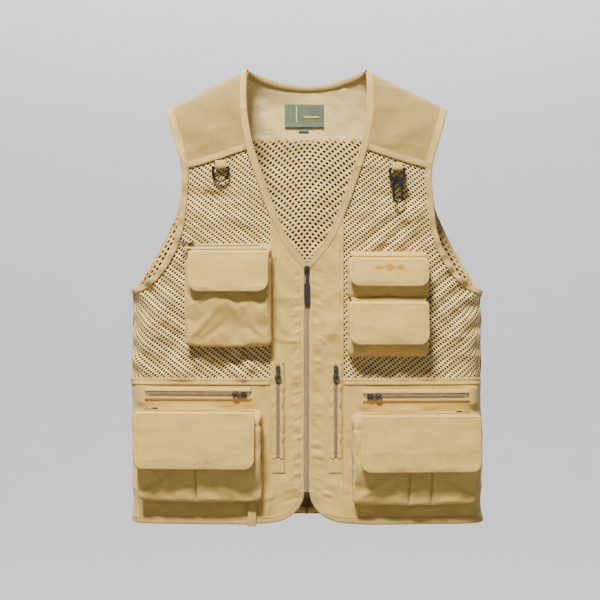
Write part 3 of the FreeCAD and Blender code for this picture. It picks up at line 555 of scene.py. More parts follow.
class Shader:
    """A material's node tree, with short ways to add to it."""

    def __init__(self, name, colour, roughness, metallic=0.0):
        self.material = bpy.data.materials.new(name)
        self.material.use_nodes = True
        self.material.diffuse_color = (*colour, 1)
        self.tree = self.material.node_tree
        self.surface = self.tree.nodes["Principled BSDF"]
        self.surface.inputs["Base Color"].default_value = (*colour, 1)
        self.surface.inputs["Roughness"].default_value = roughness
        self.surface.inputs["Metallic"].default_value = metallic
        self.where = self.add("ShaderNodeTexCoord").outputs["Object"]
        self.height = None

    def add(self, kind, **facts):
        made = self.tree.nodes.new(kind)
        for name, value in facts.items():
            setattr(made, name, value)
        return made

    def link(self, source, socket):
        self.tree.links.new(source, socket)

    def noise(self, size, detail=4.0, roughness=0.6, stretch=(1, 1, 1)):
        """Noise whose features are about size millimetres across."""
        place = self.add("ShaderNodeMapping")
        place.inputs["Scale"].default_value = stretch
        self.link(self.where, place.inputs["Vector"])
        made = self.add("ShaderNodeTexNoise")
        made.inputs["Scale"].default_value = 1000.0 / size
        made.inputs["Detail"].default_value = detail
        made.inputs["Roughness"].default_value = roughness
        self.link(place.outputs["Vector"], made.inputs["Vector"])
        return made.outputs["Fac"]

    def ribs(self, pitch, direction="X", distortion=0.0):
        """Straight ribs, pitch millimetres apart."""
        made = self.add("ShaderNodeTexWave", wave_type="BANDS", bands_direction=direction)
        made.inputs["Scale"].default_value = 1000.0 / pitch / 20 * 2 * math.pi
        made.inputs["Distortion"].default_value = distortion
        self.link(self.where, made.inputs["Vector"])
        return made.outputs["Fac"]

    def math(self, operation, a, b):
        made = self.add("ShaderNodeMath", operation=operation)
        for socket, value in zip(made.inputs, (a, b)):
            if isinstance(value, (int, float)):
                socket.default_value = value
            else:
                self.link(value, socket)
        return made.outputs[0]

    def colours(self, factor, *stops):
        """Colours along a factor: pairs of (position, colour)."""
        ramp = self.add("ShaderNodeValToRGB")
        elements = ramp.color_ramp.elements
        elements[0].position, elements[0].color = stops[0][0], (*stops[0][1], 1)
        elements[1].position, elements[1].color = stops[-1][0], (*stops[-1][1], 1)
        for position, colour in stops[1:-1]:
            elements.new(position).color = (*colour, 1)
        self.link(factor, ramp.inputs["Fac"])
        self.link(ramp.outputs["Color"], self.surface.inputs["Base Color"])

    def bump(self, height, depth, strength=1.0):
        """Relief depth millimetres high."""
        made = self.add("ShaderNodeBump")
        made.inputs["Distance"].default_value = depth * MM
        made.inputs["Strength"].default_value = strength
        self.link(height, made.inputs["Height"])
        if self.height is not None:
            self.link(self.height, made.inputs["Normal"])
        self.height = made.outputs["Normal"]
        self.link(self.height, self.surface.inputs["Normal"])


def woven(name, colour, pitch=0.7, mottle=0.1, sheen=0.15, depth=0.12):
    """Washed cotton: mottled colour, a fine weave and small surface creases."""
    s = Shader(name, colour, 0.88)
    s.surface.inputs["Sheen Weight"].default_value = sheen
    s.surface.inputs["Sheen Roughness"].default_value = 0.6
    s.surface.inputs["Specular IOR Level"].default_value = 0.2
    broad = s.math("MULTIPLY", s.noise(28, 5, 0.65), 0.6)
    patches = s.math("ADD", broad, s.math("MULTIPLY", s.noise(1.7, 3), 0.4))
    s.colours(patches, (0.3, shaded(colour, 1 - mottle)), (0.5, colour), (0.7, shaded(colour, 1 + mottle)))
    weave = s.math("MULTIPLY", s.ribs(pitch, "X", 0.6), s.ribs(pitch, "Z", 0.6))
    s.bump(s.noise(7, 3, 0.5), 0.8)
    s.bump(s.math("ADD", weave, s.noise(0.9, 2)), depth)
    return s.material


def threads(name, colour):
    """Knitted net or sewing thread: twisted, slightly shiny yarn."""
    s = Shader(name, colour, 0.62)
    s.surface.inputs["Sheen Weight"].default_value = 0.1
    s.colours(s.noise(9, 4), (0.3, shaded(colour, 0.86)), (0.7, shaded(colour, 1.08)))
    s.bump(s.noise(0.5, 2, 0.6, (1, 1, 2.5)), 0.1)
    return s.material


def ribbed(name, colour, pitch=1.1, roughness=0.8):
    """Tape and webbing with cross ribs."""
    s = Shader(name, colour, roughness)
    s.surface.inputs["Sheen Weight"].default_value = 0.1
    s.colours(s.noise(6, 4), (0.3, shaded(colour, 0.9)), (0.7, shaded(colour, 1.07)))
    s.bump(s.math("ADD", s.ribs(pitch, "Z"), s.noise(0.6, 2)), 0.14)
    return s.material


def brushed(name, colour):
    """The hooks and loops of a closing patch."""
    s = Shader(name, colour, 0.95)
    s.surface.inputs["Sheen Weight"].default_value = 0.4
    s.colours(s.noise(0.8, 5, 0.8), (0.35, shaded(colour, 0.6)), (0.65, shaded(colour, 1.25)))
    s.bump(s.noise(0.7, 3, 0.8), 0.5)
    return s.material


def metal(name, colour, worn, roughness=0.34):
    """Plated metal, lighter where it is worn."""
    s = Shader(name, colour, roughness, 1.0)
    s.colours(s.noise(3.2, 5, 0.6), (0.5, colour), (0.85, worn))
    rough = s.add("ShaderNodeMapRange")
    rough.inputs["To Min"].default_value = roughness - 0.08
    rough.inputs["To Max"].default_value = roughness + 0.16
    s.link(s.noise(1.4, 4), rough.inputs["Value"])
    s.link(rough.outputs["Result"], s.surface.inputs["Roughness"])
    s.bump(s.noise(1.1, 3), 0.03)
    return s.material


def moulded(name, colour):
    """Moulded plastic with a fine grain."""
    s = Shader(name, colour, 0.46)
    s.colours(s.noise(5, 3), (0.35, shaded(colour, 0.85)), (0.7, shaded(colour, 1.3)))
    s.bump(s.noise(0.4, 2), 0.02)
    return s.material


def plain(name, colour, roughness):
    s = Shader(name, colour, roughness)
    s.colours(s.noise(140, 3), (0.3, shaded(colour, 0.985)), (0.7, shaded(colour, 1.01)))
    return s.material


KHAKI = linear(205, 168, 84)
KHAKI_CLOTH = woven("khaki_cotton", KHAKI)
# Painted shade: the yoke cloth is coloured darker than the other khaki to offset the extra key light its
# upturned slope catches.
PAINTED_SHADE_YOKE_CLOTH = woven("khaki_yoke_cotton_painted_shade", linear(160, 131, 66))
BACK_CLOTH = woven("khaki_back_cotton", linear(202, 167, 86))
# The facing is its own paler cloth plus painted light: its colour is raised to offset the shade it lies in
# inside the neck.
PAINTED_LIGHT_FACING_CLOTH = woven("facing_cotton_painted_light", linear(236, 205, 130), mottle=0.06)
NET_THREAD = threads("net_thread", linear(229, 195, 117))
LINING_THREAD = threads("lining_net_thread", linear(224, 190, 112))
BINDING_TAPE = ribbed("binding_tape", linear(194, 160, 84))
SEAM_TAPE = ribbed("seam_tape", linear(194, 160, 84))
# A lining is there, but its dark brown and strong mottle are painted shade: they stand for the dark, uneven
# shade seen through the nets' holes.
PAINTED_SHADE_BROWN = linear(104, 74, 40)
SHADE_LINING_CLOTH = woven("shade_lining_cotton", PAINTED_SHADE_BROWN, 0.8, 0.45, 0.05)
SEWING_THREAD = threads("sewing_thread", linear(184, 152, 88))
MAIN_ZIP_TAPE = ribbed("main_zip_tape", linear(166, 138, 98), 1.6)
SMALL_ZIP_TAPE = ribbed("small_zip_tape", linear(146, 120, 80), 1.4)
MAIN_TEETH = moulded("main_zip_teeth", linear(148, 122, 84))
SMALL_TEETH = moulded("small_zip_teeth", linear(132, 109, 74))
LABEL_WEAVE = woven("label_weave", linear(112, 124, 96), 0.4, 0.05, 0.05)
LABEL_PRINT = threads("label_thread", linear(206, 210, 180))
LABEL_BAR = threads("label_bar_thread", linear(196, 170, 70))
MOTIF_THREAD = threads("motif_thread", linear(228, 168, 30))
CLOSING = brushed("hook_and_loop", linear(170, 132, 76))
GUNMETAL = metal("gunmetal", linear(66, 62, 57), linear(134, 124, 110))
ANTIQUE = metal("antique_metal", linear(104, 95, 80), linear(178, 164, 138), 0.4)
BLACK_PLASTIC = moulded("black_plastic", linear(34, 33, 32))


# ---------------------------------------------------------------- sweeps, stitches and boxes
def left_of(path):
    """Left-hand unit normals of a line in the pattern plane."""
    run = unit(np.gradient(path, axis=0))
    return stacked(-run[:, 1], run[:, 0])


def tube_faces(rows, around):
    """Faces of a swept ring, closed at both ends: rows sections of around points each."""
    faces = []
    for k in range(rows - 1):
        a, b = k * around, (k + 1) * around
        for j in range(around):
            i = (j + 1) % around
            faces.append((a + j, a + i, b + i, b + j))
    faces.append(tuple(range(around - 1, -1, -1)))
    faces.append(tuple(range((rows - 1) * around, rows * around)))
    return faces


def outwards(piece):
    """Turns the faces of a closed mesh outwards."""
    made = bmesh.new()
    made.from_mesh(piece.data)
    bmesh.ops.recalc_face_normals(made, faces=made.faces)
    made.to_mesh(piece.data)
    made.free()
    return piece


def strip(name, paths, profile, side, material, relief=0.0, **facts):
    """Tape swept along pattern lines. profile is a ring of (left of the line, outwards)."""
    points, faces = [], []
    profile = np.asarray(profile, float)
    for path in paths:
        left = left_of(path)
        rows = []
        for across, out in profile:
            uv = path + left * across
            wobble = relief * noise(stacked(*uv.T, 0), 7.5, 21)
            rows.append(cloth_points(uv, side, out + wobble * (out > 0.3))[0])
        count = sum(len(p) for p in points)
        ring = np.stack(rows, axis=1).reshape(-1, 3)
        faces += [tuple(i + count for i in f) for f in tube_faces(len(path), len(profile))]
        points.append(ring)
    return outwards(make_mesh(name, np.vstack(points), faces, material, **facts))


STITCH_LONG, STITCH_PITCH, STITCH_WIDE = 2.4, 3.3, 0.36


def one_stitch():
    """Corners and faces of one thread: along x, standing out along z."""
    points = [(-STITCH_LONG / 2, 0, -0.1)]
    for t, size in ((-0.34, 0.8), (0, 1.0), (0.34, 0.8)):
        for a in (0, 0.5, 1.0, 1.5):
            across = STITCH_WIDE * size * math.cos(a * math.pi)
            points.append((t * STITCH_LONG, across, 0.1 + STITCH_WIDE * size * math.sin(a * math.pi)))
    points.append((STITCH_LONG / 2, 0, -0.1))
    faces = [(0, 1 + (j + 1) % 4, 1 + j) for j in range(4)]
    for row in (1, 5):
        faces += [(row + j, row + (j + 1) % 4, row + 4 + (j + 1) % 4, row + 4 + j) for j in range(4)]
    faces += [(13, 9 + j, 9 + (j + 1) % 4) for j in range(4)]
    return np.array(points, float), faces


def thread_row(places, tangents, ups):
    """Joined stitches at the given places."""
    shape, shape_faces = one_stitch()
    across = np.cross(ups, tangents)
    points = (
        places[:, None, :]
        + shape[None, :, 0, None] * tangents[:, None, :]
        + shape[None, :, 1, None] * across[:, None, :]
        + shape[None, :, 2, None] * ups[:, None, :]
    ).reshape(-1, 3)
    faces = [tuple(i + k * len(shape) for i in f) for k in range(len(places)) for f in shape_faces]
    return points, faces


def sewn_lines(name, lines, side, offset):
    """Rows of stitches along pattern lines on the cloth's outside."""
    points, faces = [], []
    for line in lines:
        at = spaced(line, STITCH_PITCH)
        places, ups = cloth_points(at, side, offset)
        tangents = unit(np.gradient(places, axis=0))
        made, made_faces = thread_row(places, tangents, ups)
        count = sum(len(p) for p in points)
        points.append(made)
        faces += [tuple(i + count for i in f) for f in made_faces]
    return make_mesh(name, np.vstack(points), faces, SEWING_THREAD, slot="khaki_cloth")


# ---------------------------------------------------------------- the net
def net(name, outline, side, node, material, offset, pitch, row, thick, hole):
    """Knitted net: a staggered field of six-sided holes with rounded threads between them.

    pitch and row are the spacing of the holes across and down, hole is their share of a cell.
    """
    edge = to_pattern(joined(outline))
    low, high = edge.min(axis=0), edge.max(axis=0)
    centres = []
    for k, v in enumerate(np.arange(low[1], high[1] + row, row)):
        us = np.arange(low[0] - pitch, high[0] + pitch, pitch) + (k % 2) * pitch / 2
        centres.append(stacked(us, v))
    centres = np.vstack(centres)
    centres = centres[inside(centres, edge)]
    side_tip = (row**2 - pitch**2 / 4) / (2 * row)
    top_tip = (row**2 + pitch**2 / 4) / (2 * row)
    corner = np.array([(pitch / 2, side_tip), (0, top_tip), (-pitch / 2, side_tip)])
    ring = np.vstack([corner, -corner])
    uv = np.vstack([(centres[:, None] + ring[None] * share).reshape(-1, 2) for share in (1.0, 0.76, hole)])
    lift = np.repeat([0.0, 0.12, -0.12], len(centres) * 6)
    twist = 0.03 * pitch * noise(stacked(*uv.T, 0), 5.0, 31)
    uv = uv + stacked(twist, twist * 0.5)
    points, _ = cloth_points(uv, side, offset + lift)
    count = len(centres) * 6
    cell = np.arange(len(centres))[:, None] * 6
    j = np.arange(6)[None]
    i = (j + 1) % 6
    faces = []
    for inner in (0, 1):
        a, b = cell + inner * count, cell + (inner + 1) * count
        faces.append(np.stack([a + j, a + i, b + i, b + j], axis=2).reshape(-1, 4))
    faces = np.vstack(faces)
    if side == FRONT:
        faces = faces[:, ::-1]
    piece = make_mesh(name, points, faces, material, slot="net", replaces=[node])
    weld(piece, 0.25)
    solidify(piece, thick)
    return piece


def weld(piece, near):
    made = bmesh.new()
    made.from_mesh(piece.data)
    bmesh.ops.remove_doubles(made, verts=made.verts, dist=near * MM)
    made.to_mesh(piece.data)
    made.free()


# ---------------------------------------------------------------- local frames from the joints
class Place:
    """A local frame: x across, y into the vest, z along. Lengths in millimetres."""

    def __init__(self, origin, x, z):
        self.origin = np.array(origin, float)
        self.x = unit(np.array(x, float))
        self.z = unit(np.array(z, float))
        self.y = np.cross(self.z, self.x)

    def at(self, points):
        points = np.asarray(points, float)
        return self.origin + points[..., :1] * self.x + points[..., 1:2] * self.y + points[..., 2:3] * self.z

    def turn(self, vectors):
        vectors = np.asarray(vectors, float)
        return vectors[..., :1] * self.x + vectors[..., 1:2] * self.y + vectors[..., 2:3] * self.z

    def local(self, points):
        away = points - self.origin
        return stacked(away @ self.x, away @ self.y, away @ self.z)


def hinge_place(name):
    """Frame at the middle of a flap's hinge: x along the hinge, z up."""
    joint = joints[f"{name}_flap_lift"]
    return Place(np.array(joint["pos_m"]) / MM, -np.array(joint["axis"]), (0, 0, 1))


PIN_OUT, PIN_DOWN = 1.225, 1.15


def zip_place(name, cell):
    """Frame at a zip's start on the face of its cloth: z against the slider's way, -y outwards."""
    run = np.array(joints[f"{name}_zip_run"]["axis"], float)
    swing = joints[f"{name}_pull_swing"]
    out = unit(np.cross(run, np.array(swing["axis"], float)))
    out = out if out[1] < 0 else -out
    pin = np.array(swing["pos_m"]) / MM
    origin = pin - run * cell * PIN_DOWN - out * cell * PIN_OUT
    return Place(origin, np.cross(-out, -run), -run)


MAIN_CELL, CELL = 4.4, 4.0
ZIPS = {
    "main": (MAIN_CELL, 350.0),
    "left_upright": (CELL, 138.0),
    "right_upright": (CELL, 138.0),
    "left_waist": (CELL, 155.0),
    "right_waist": (CELL, 155.0),
    "chest_left": (CELL, 112.0),
    "lower_left": (CELL, 168.0),
    "lower_right": (CELL, 168.0),
}
ZIP_PLACES = {name: zip_place(name, cell) for name, (cell, _) in ZIPS.items()}
BED_ZIPS = ("left_upright", "right_upright", "left_waist", "right_waist")
END_PATCH = (21.0, 24.0)


def zip_beds(points, out):
    """Brings the cloth to the back of the straight zips sewn onto it."""
    for name in BED_ZIPS:
        place = ZIP_PLACES[name]
        x, y, z = place.local(points).T
        long = ZIPS[name][1]
        foot = -long - (END_PATCH[1] if "upright" in name else 0)
        share = (1 - smooth(np.abs(x), 10, 24)) * smooth(z, foot - 26, foot - 4) * (1 - smooth(z, 4, 26))
        share = share * (points[:, 1] < 0)
        out = out * (1 - share) + (y - 0.5) * share
    return out


# ---------------------------------------------------------------- zips
def tooth(cell, side):
    """One coil loop of a zip: a rounded bar reaching over the middle. x across, y out negative, z along."""
    half = 0.13 * cell
    high = (0.24 * cell, 0.5 * cell)
    x0, x1 = -0.1 * cell * side, 0.46 * cell * side
    rows = []
    for t, grow in ((0.0, 0.55), (0.3, 1.0), (0.75, 1.0), (1.0, 0.7)):
        x = x0 + (x1 - x0) * t
        mid = sum(high) / 2
        tall = (high[1] - high[0]) / 2 * grow
        for a in range(6):
            turn = math.radians(60 * a)
            rows.append((x, -(mid + tall * math.sin(turn)), half * grow * math.cos(turn)))
    faces = tube_faces(4, 6)
    return np.array(rows), faces


def zip_teeth(name, place, cell, long, start, material=SMALL_TEETH):
    """Both rows of teeth of a closed zip."""
    pitch = 0.34 * cell
    count = int((long - start) / pitch)
    points, faces = [], []
    for side in (-1, 1):
        shape, shape_faces = tooth(cell, side)
        for k in range(count):
            shift = np.array([0, 0, -start - (k + (0.5 if side > 0 else 0.0)) * pitch])
            base = len(points) * len(shape)
            points.append(place.at(shape + shift))
            faces += [tuple(i + base for i in f) for f in shape_faces]
    return outwards(make_mesh(name, np.vstack(points), faces, material, slot="zip_tape"))


def zip_tape(name, place, cell, long, material, ends=4.0, node=None, half=None):
    """The woven tape under the teeth, with its two edges slightly rolled."""
    half = half or 2 * cell
    xs = np.array([-1, -0.93, -0.6, -0.32, -0.05, 0.05, 0.32, 0.6, 0.93, 1]) * half
    rise = np.array([0.1, 0.45, 0.35, 0.5, 0.3, 0.3, 0.5, 0.35, 0.45, 0.1])
    zs = np.arange(ends, -long - ends - 0.1, -2.0)
    grid = np.stack(np.meshgrid(xs, zs), axis=2)
    across, along = grid[..., 0].ravel(), grid[..., 1].ravel()
    wave = 0.12 * noise(stacked(across * 0.3, along, 0), (6, 5, 5), 41).reshape(grid.shape[:2])
    points = np.stack([grid[..., 0], -(rise[None] + wave), grid[..., 1]], axis=2).reshape(-1, 3)
    faces = grid_faces(len(zs), len(xs))
    piece = make_mesh(name, place.at(points), faces, material, slot="zip_tape",
                      replaces=[node] if node else ())
    solidify(piece, 0.6, -1)
    return piece


def full_zip(name):
    cell, long = ZIPS[name]
    place = ZIP_PLACES[name]
    main = name == "main"
    tape = SEAM_TAPE if name in POCKETS else MAIN_ZIP_TAPE if main else SMALL_ZIP_TAPE
    teeth = MAIN_TEETH if main else SMALL_TEETH
    zip_tape(f"{name}_tape", place, cell, long, tape, node=f"{name}_zip")
    zip_teeth(f"{name}_teeth", place, cell, long - 0.2 * cell, 1.2 * cell, teeth)


# ---------------------------------------------------------------- pockets
def wall_local(place, x, z):
    """Local y of the vest's wall in front of local (x, z)."""
    y = np.zeros_like(x)
    for _ in range(3):
        world = place.at(stacked(x, y, z))
        drop = np.clip(shoulder(world[..., 0]) - world[..., 2], 0, FOLD_HIGH)
        wall = -plan_depth(world[..., 0]) * np.sqrt(1 - (1 - drop / FOLD_HIGH) ** 2)
        y = y + (wall - world[..., 1]) / place.y[1]
    return y


def box_grid(wide, high, deep, step, top=True, edges=()):
    """Front, sides, bottom and top of a box, hung from (0, 0, 0): (points, faces). It has no back.

    y runs from -deep at the front to 0 at the back. edges are x where extra rows of points make a sharp fold.
    """
    xs = np.linspace(-wide / 2, wide / 2, int(wide / step) + 1)
    for at in edges:
        xs = xs[np.abs(xs - at) > 1.6]
    xs = np.sort(np.concatenate([xs] + [[at - 1.1, at - 0.25, at + 0.25, at + 1.1] for at in edges]))
    zs = np.linspace(0, -high, int(high / step) + 1)
    ys = np.linspace(-deep, 0, max(3, int(deep / step) + 1))
    sheets = [
        [[(x, -deep, z) for x in xs] for z in zs],
        [[(-wide / 2, y, z) for y in ys[::-1]] for z in zs],
        [[(wide / 2, y, z) for y in ys] for z in zs],
        [[(x, y, -high) for x in xs] for y in ys],
    ]
    if top:
        sheets.append([[(x, y, 0) for x in xs] for y in ys[::-1]])
    index, points, faces = {}, [], []

    def number(p):
        key = tuple(round(c, 3) for c in p)
        if key not in index:
            index[key] = len(points)
            points.append(p)
        return index[key]

    for rows in sheets:
        for a, b in zip(rows, rows[1:]):
            for k in range(len(a) - 1):
                faces.append((number(b[k]), number(b[k + 1]), number(a[k + 1]), number(a[k])))
    return np.array(points, float), faces


def rounded(points, wide, high, deep, radius):
    """Rounds the box's front edges and its four standing and lying corners."""
    low = np.array([-wide / 2 + radius, -deep + radius, -high + radius])
    top = np.array([wide / 2 - radius, 1e3, -radius])
    core = np.clip(points, low, top)
    core[:, 1] = np.maximum(points[:, 1], -deep + radius)
    away = points - core
    far = np.linalg.norm(away, axis=1)
    return np.where(far[:, None] > radius, core + away / (far[:, None] + 1e-9) * radius, points)


def settle(piece, pinned, pressure, frames=14, ease=-0.03, cap=6.0):
    """Lets a piece's cloth find its own folds: extra cloth, a little pressure, its pinned edges held."""
    start = np.array([v.co for v in piece.data.vertices])
    group = piece.vertex_groups.new(name="pin")
    group.add([int(i) for i in np.flatnonzero(pinned)], 1.0, "REPLACE")
    cloth = piece.modifiers.new("cloth", "CLOTH")
    made = cloth.settings
    made.quality = 6
    made.mass = 0.25
    made.tension_stiffness = 20
    made.compression_stiffness = 12
    made.shear_stiffness = 8
    made.bending_stiffness = 0.35
    made.air_damping = 6
    made.vertex_group_mass = "pin"
    made.shrink_min = ease
    made.use_pressure = pressure != 0
    made.uniform_pressure_force = pressure
    made.effector_weights.gravity = 0
    cloth.collision_settings.use_collision = False
    cloth.collision_settings.use_self_collision = False
    cloth.point_cache.frame_start = 1
    cloth.point_cache.frame_end = frames
    scene = bpy.context.scene
    for frame_number in range(1, frames + 1):
        scene.frame_set(frame_number)
    evaluated = piece.evaluated_get(bpy.context.evaluated_depsgraph_get())
    end = np.array([v.co for v in evaluated.data.vertices])
    piece.modifiers.remove(cloth)
    piece.vertex_groups.remove(group)
    scene.frame_set(1)
    move = end - start
    far = np.linalg.norm(move, axis=1)[:, None]
    move *= np.minimum(1, cap * MM / np.maximum(far, 1e-9))
    piece.data.vertices.foreach_set("co", (start + move).ravel())
    piece.data.update()


def subdivided(piece):
    change = piece.modifiers.new("smooth", "SUBSURF")
    change.levels = change.render_levels = 1
    return piece


class Pocket:
    """Measures of a pocket, in its own frame on the wall."""

    def __init__(self, name, wide, high, deep, patch, fall, flap_x, flap_wide, flap_high, flap_z):
        self.name, self.wide, self.high, self.deep = name, wide, high, deep
        self.patch, self.fall = patch, fall
        self.flap_wide, self.flap_high = flap_wide, flap_high
        self.hinge = hinge_place(name)
        self.front = deep + patch
        self.hinge_out = self.front + 2.4
        self.flap_x, self.flap_z = flap_x, flap_z
        origin = self.hinge.origin - self.hinge.turn((flap_x, -self.hinge_out, flap_z))
        self.place = Place(origin, self.hinge.x, (0, 0, 1))


POCKETS = {
    "chest_left": Pocket("chest_left", 134, 158, 18, 9, 10, 1.4, 124, 65, -10),
    "chest_right_upper": Pocket("chest_right_upper", 127, 66, 18, 0, 0, 0, 124, 46, 0),
    "chest_right_lower": Pocket("chest_right_lower", 127, 88, 18, 0, 0, 0, 124, 69, 0),
    "lower_left": Pocket("lower_left", 194, 140, 22, 9, 10, -5.6, 187, 90, 0),
    "lower_right": Pocket("lower_right", 194, 140, 22, 9, 10, 7.4, 187, 90, 0),
}


def tucked_under(pocket, z):
    """How far a pocket's front falls back towards the vest below its flap."""
    down = smooth(-z, pocket.flap_high - pocket.flap_z - 14, pocket.high)
    return down * (0.42 if pocket.wide > 150 else 0.28) * pocket.deep


def pocket_bag(pocket, seed):
    """The pocket's own bag: front, gussets and bottom, sewn to the vest along its back edge."""
    radius = 8.0
    wide, high, deep = pocket.wide, pocket.high, pocket.deep
    points, faces = box_grid(wide, high, deep, 5.0, top=pocket.fall > 0)
    points = rounded(points, wide, high, deep, radius)
    x, y, z = points.T
    front_share = np.clip(-y / deep, 0, 1)
    z = z - pocket.fall * front_share * smooth(z, -40, 0)
    back = (1 - front_share)
    y = y + back * (wall_local(pocket.place, x, z) + 1.6) + front_share * tucked_under(pocket, z)
    middle = (1 - (2 * x / wide) ** 2) * np.sin(np.pi * np.clip(-z / high, 0, 1)) ** 0.7
    y = y - front_share * (2.2 * middle if pocket.patch == 0 else 0.6 * middle)
    y = y + front_share * 0.8 * noise(stacked(x, y, z), 22, seed)
    # the cloth of the side gussets and the bottom folds in a little, half way to the wall
    tuck = np.sin(np.pi * front_share) * 2.2
    inner = 1 - tuck / np.maximum(np.abs(x), 1) * (np.abs(x) > wide / 2 - 2 * radius)
    piece = make_mesh(f"{pocket.name}_bag", pocket.place.at(stacked(x * inner, y, z)), faces,
                      KHAKI_CLOTH, slot="khaki_cloth", replaces=[f"{pocket.name}_pocket"])
    held = (front_share < 0.03) | ((z > -pocket.fall - 2) & (pocket.fall > 0)) | (z > -1.5)
    settle(piece, held, 0.8, cap=4.0)
    subdivided(piece)
    solidify(piece, 0.9)
    return piece


# Creases of a pouch's front: start and end as shares of its half width and height, width, height.
POUCH_FOLDS = [
    (np.array([-0.95, -0.95]), np.array([-0.35, -0.62]), 3.6, 1.5),
    (np.array([-0.6, -0.93]), np.array([-0.1, -0.75]), 3.4, -1.0),
    (np.array([0.95, -0.93]), np.array([0.4, -0.7]), 3.6, 1.3),
    (np.array([0.8, -0.98]), np.array([0.55, -0.55]), 3.0, -0.9),
    (np.array([-0.9, -0.55]), np.array([-0.45, -0.42]), 4.0, 0.9),
    (np.array([0.15, -0.6]), np.array([0.6, -0.5]), 4.0, 0.8),
]


def patch_pouch(pocket, seed, pleats):
    """The open pouch on a zipped pocket's front: its front cloth and its shallow sides, with pleats."""
    top = pocket.fall + 12.0
    wide, high, deep = pocket.wide - 1.0, pocket.high - top, pocket.patch
    points, faces = box_grid(wide, high, deep, 4.0, top=False, edges=[at for at, _ in pleats])
    points = rounded(points, wide, high, deep, 7.5)
    x, y, z = points.T
    front_share = np.clip(-y / deep, 0, 1)
    down = np.clip(-z / high, 0, 1)
    middle = (1 - (2 * x / wide) ** 2)
    belly = 2.6 * np.sin(np.pi * np.minimum(1, down * 1.15 + 0.1)) ** 0.8
    y = y - front_share * (0.4 + 0.6 * middle) * belly
    y = y + front_share * 3.0 * smooth(down, 0.45, 1.05) + tucked_under(pocket, z - top)
    flat = stacked(x, 0, z)
    y = y + front_share * 0.9 * noise(flat, (24, 30, 30), seed)
    y = y + front_share * 0.5 * noise(stacked(x + 0.6 * z, 0, z - x * 0.6), (9, 30, 40), seed + 1)
    scale = np.array([wide / 2, high])
    for fold_start, fold_end, fold_wide, fold_high in POUCH_FOLDS:
        y = y - front_share * fold(flat, fold_start * scale, fold_end * scale, fold_wide, fold_high)
    for at, proud in pleats:
        # one side of a pleat lies over the other, most at the mouth, with a dark slit between them
        over = smooth(x, at - 0.6, at) * np.exp(-np.maximum(x - at, 0) / 22)
        slit = np.exp(-(((x - at + 0.6) / 1.5) ** 2))
        y = y - front_share * (proud * over - 5.5 * slit) * (1.0 - 0.5 * down)
    y = y - pocket.deep
    z = z - 2.6 * middle * smooth(down, 0.6, 1.0)
    piece = make_mesh(f"{pocket.name}_pouch", pocket.place.at(stacked(x, y, z - top)), faces,
                      KHAKI_CLOTH, slot="khaki_cloth")
    settle(piece, (front_share < 0.03), 0.12, ease=-0.022, cap=3.0)
    subdivided(piece)
    solidify(piece, 1.0)
    return piece


def flap_outline(wide, high, radius, step=3.0):
    """Outline of a flap hung from z = 0, with rounded lower corners."""
    w = wide / 2
    arc = np.radians(np.linspace(0, 90, 8))
    right = stacked(w - radius + radius * np.cos(arc), -high + radius - radius * np.sin(arc))
    left = right[::-1] * [-1, 1]
    cut, drop = 4.5, 7.0
    top = [(cut - w, 0), (w - cut, 0), (w, -drop)]
    return spaced(np.vstack([top, right, left, [(-w, -drop)]]), step, closed=True)


def flap_shape(pocket, uv, seed, lift=0.0):
    """Local points of a flap's outer face: rolled over at its top, full in its middle, flared below."""
    x, z = uv.T
    down = -z / pocket.flap_high
    across = 2 * x / pocket.flap_wide
    y = -2.2 - 1.4 * np.sin(np.pi * np.clip(down, 0, 1)) * (1 - across**2) * 1.3
    y += 5.6 * (1 - smooth(-z, 0, 7.5)) ** 1.6
    y -= 8.0 * down**1.3 + 0.8 * down**3 * across**2
    flat = stacked(x, 0, z)
    y += 1.3 * noise(flat, (34, 20, 26), seed) * smooth(-z, 4, 18)
    y += 0.5 * noise(flat, (9, 20, 30), seed + 3) * smooth(-z, 2, 12)
    y -= 1.0 * ridges(flat, (44, 20, 24), seed + 7) * smooth(-z, 6, 16)
    return stacked(x, y - lift, z)


def flap_piece(pocket, seed):
    """A flap of two layers of cloth, stitched round its border."""
    outline = flap_outline(pocket.flap_wide, pocket.flap_high, 16)
    uv, faces, edge = filled(outline, 3.6, SEAM_ROWS)
    far = distance(uv, edge[edge[:, 1] < -0.5], closed=False)
    lift = 0.15 * (1 - smooth(far, 6.4, 9)) - 0.2 * np.exp(-(((far - STITCH_FROM_EDGE) / 0.8) ** 2))
    lift = lift - 1.1 * np.exp(-((far / 1.1) ** 2)) + seam_puckers(uv, far)
    points = flap_shape(pocket, uv, seed, lift)
    hinge = pocket.hinge
    name = f"{pocket.name}_flap"
    piece = make_mesh(f"{name}_cloth", hinge.at(points), faces, KHAKI_CLOTH, body=None,
                      slot="khaki_cloth", replaces=[name])
    solidify(piece, 2.2, -1)
    if piece.data.polygons[0].normal.y > 0:
        piece.data.flip_normals()
    lift_with_flap(piece, pocket)
    flap_stitches(pocket, seed)
    return piece


def lift_with_flap(piece, pocket):
    """Bakes a flap piece's placement into its points; two points along its sewn edge are worked out but not
    used.
    """
    o = pocket.hinge.origin
    start = o + pocket.hinge.turn((0, 7.0, 3.0))
    end = o + pocket.hinge.turn((0, -2.0, -7.0))
    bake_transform(piece)


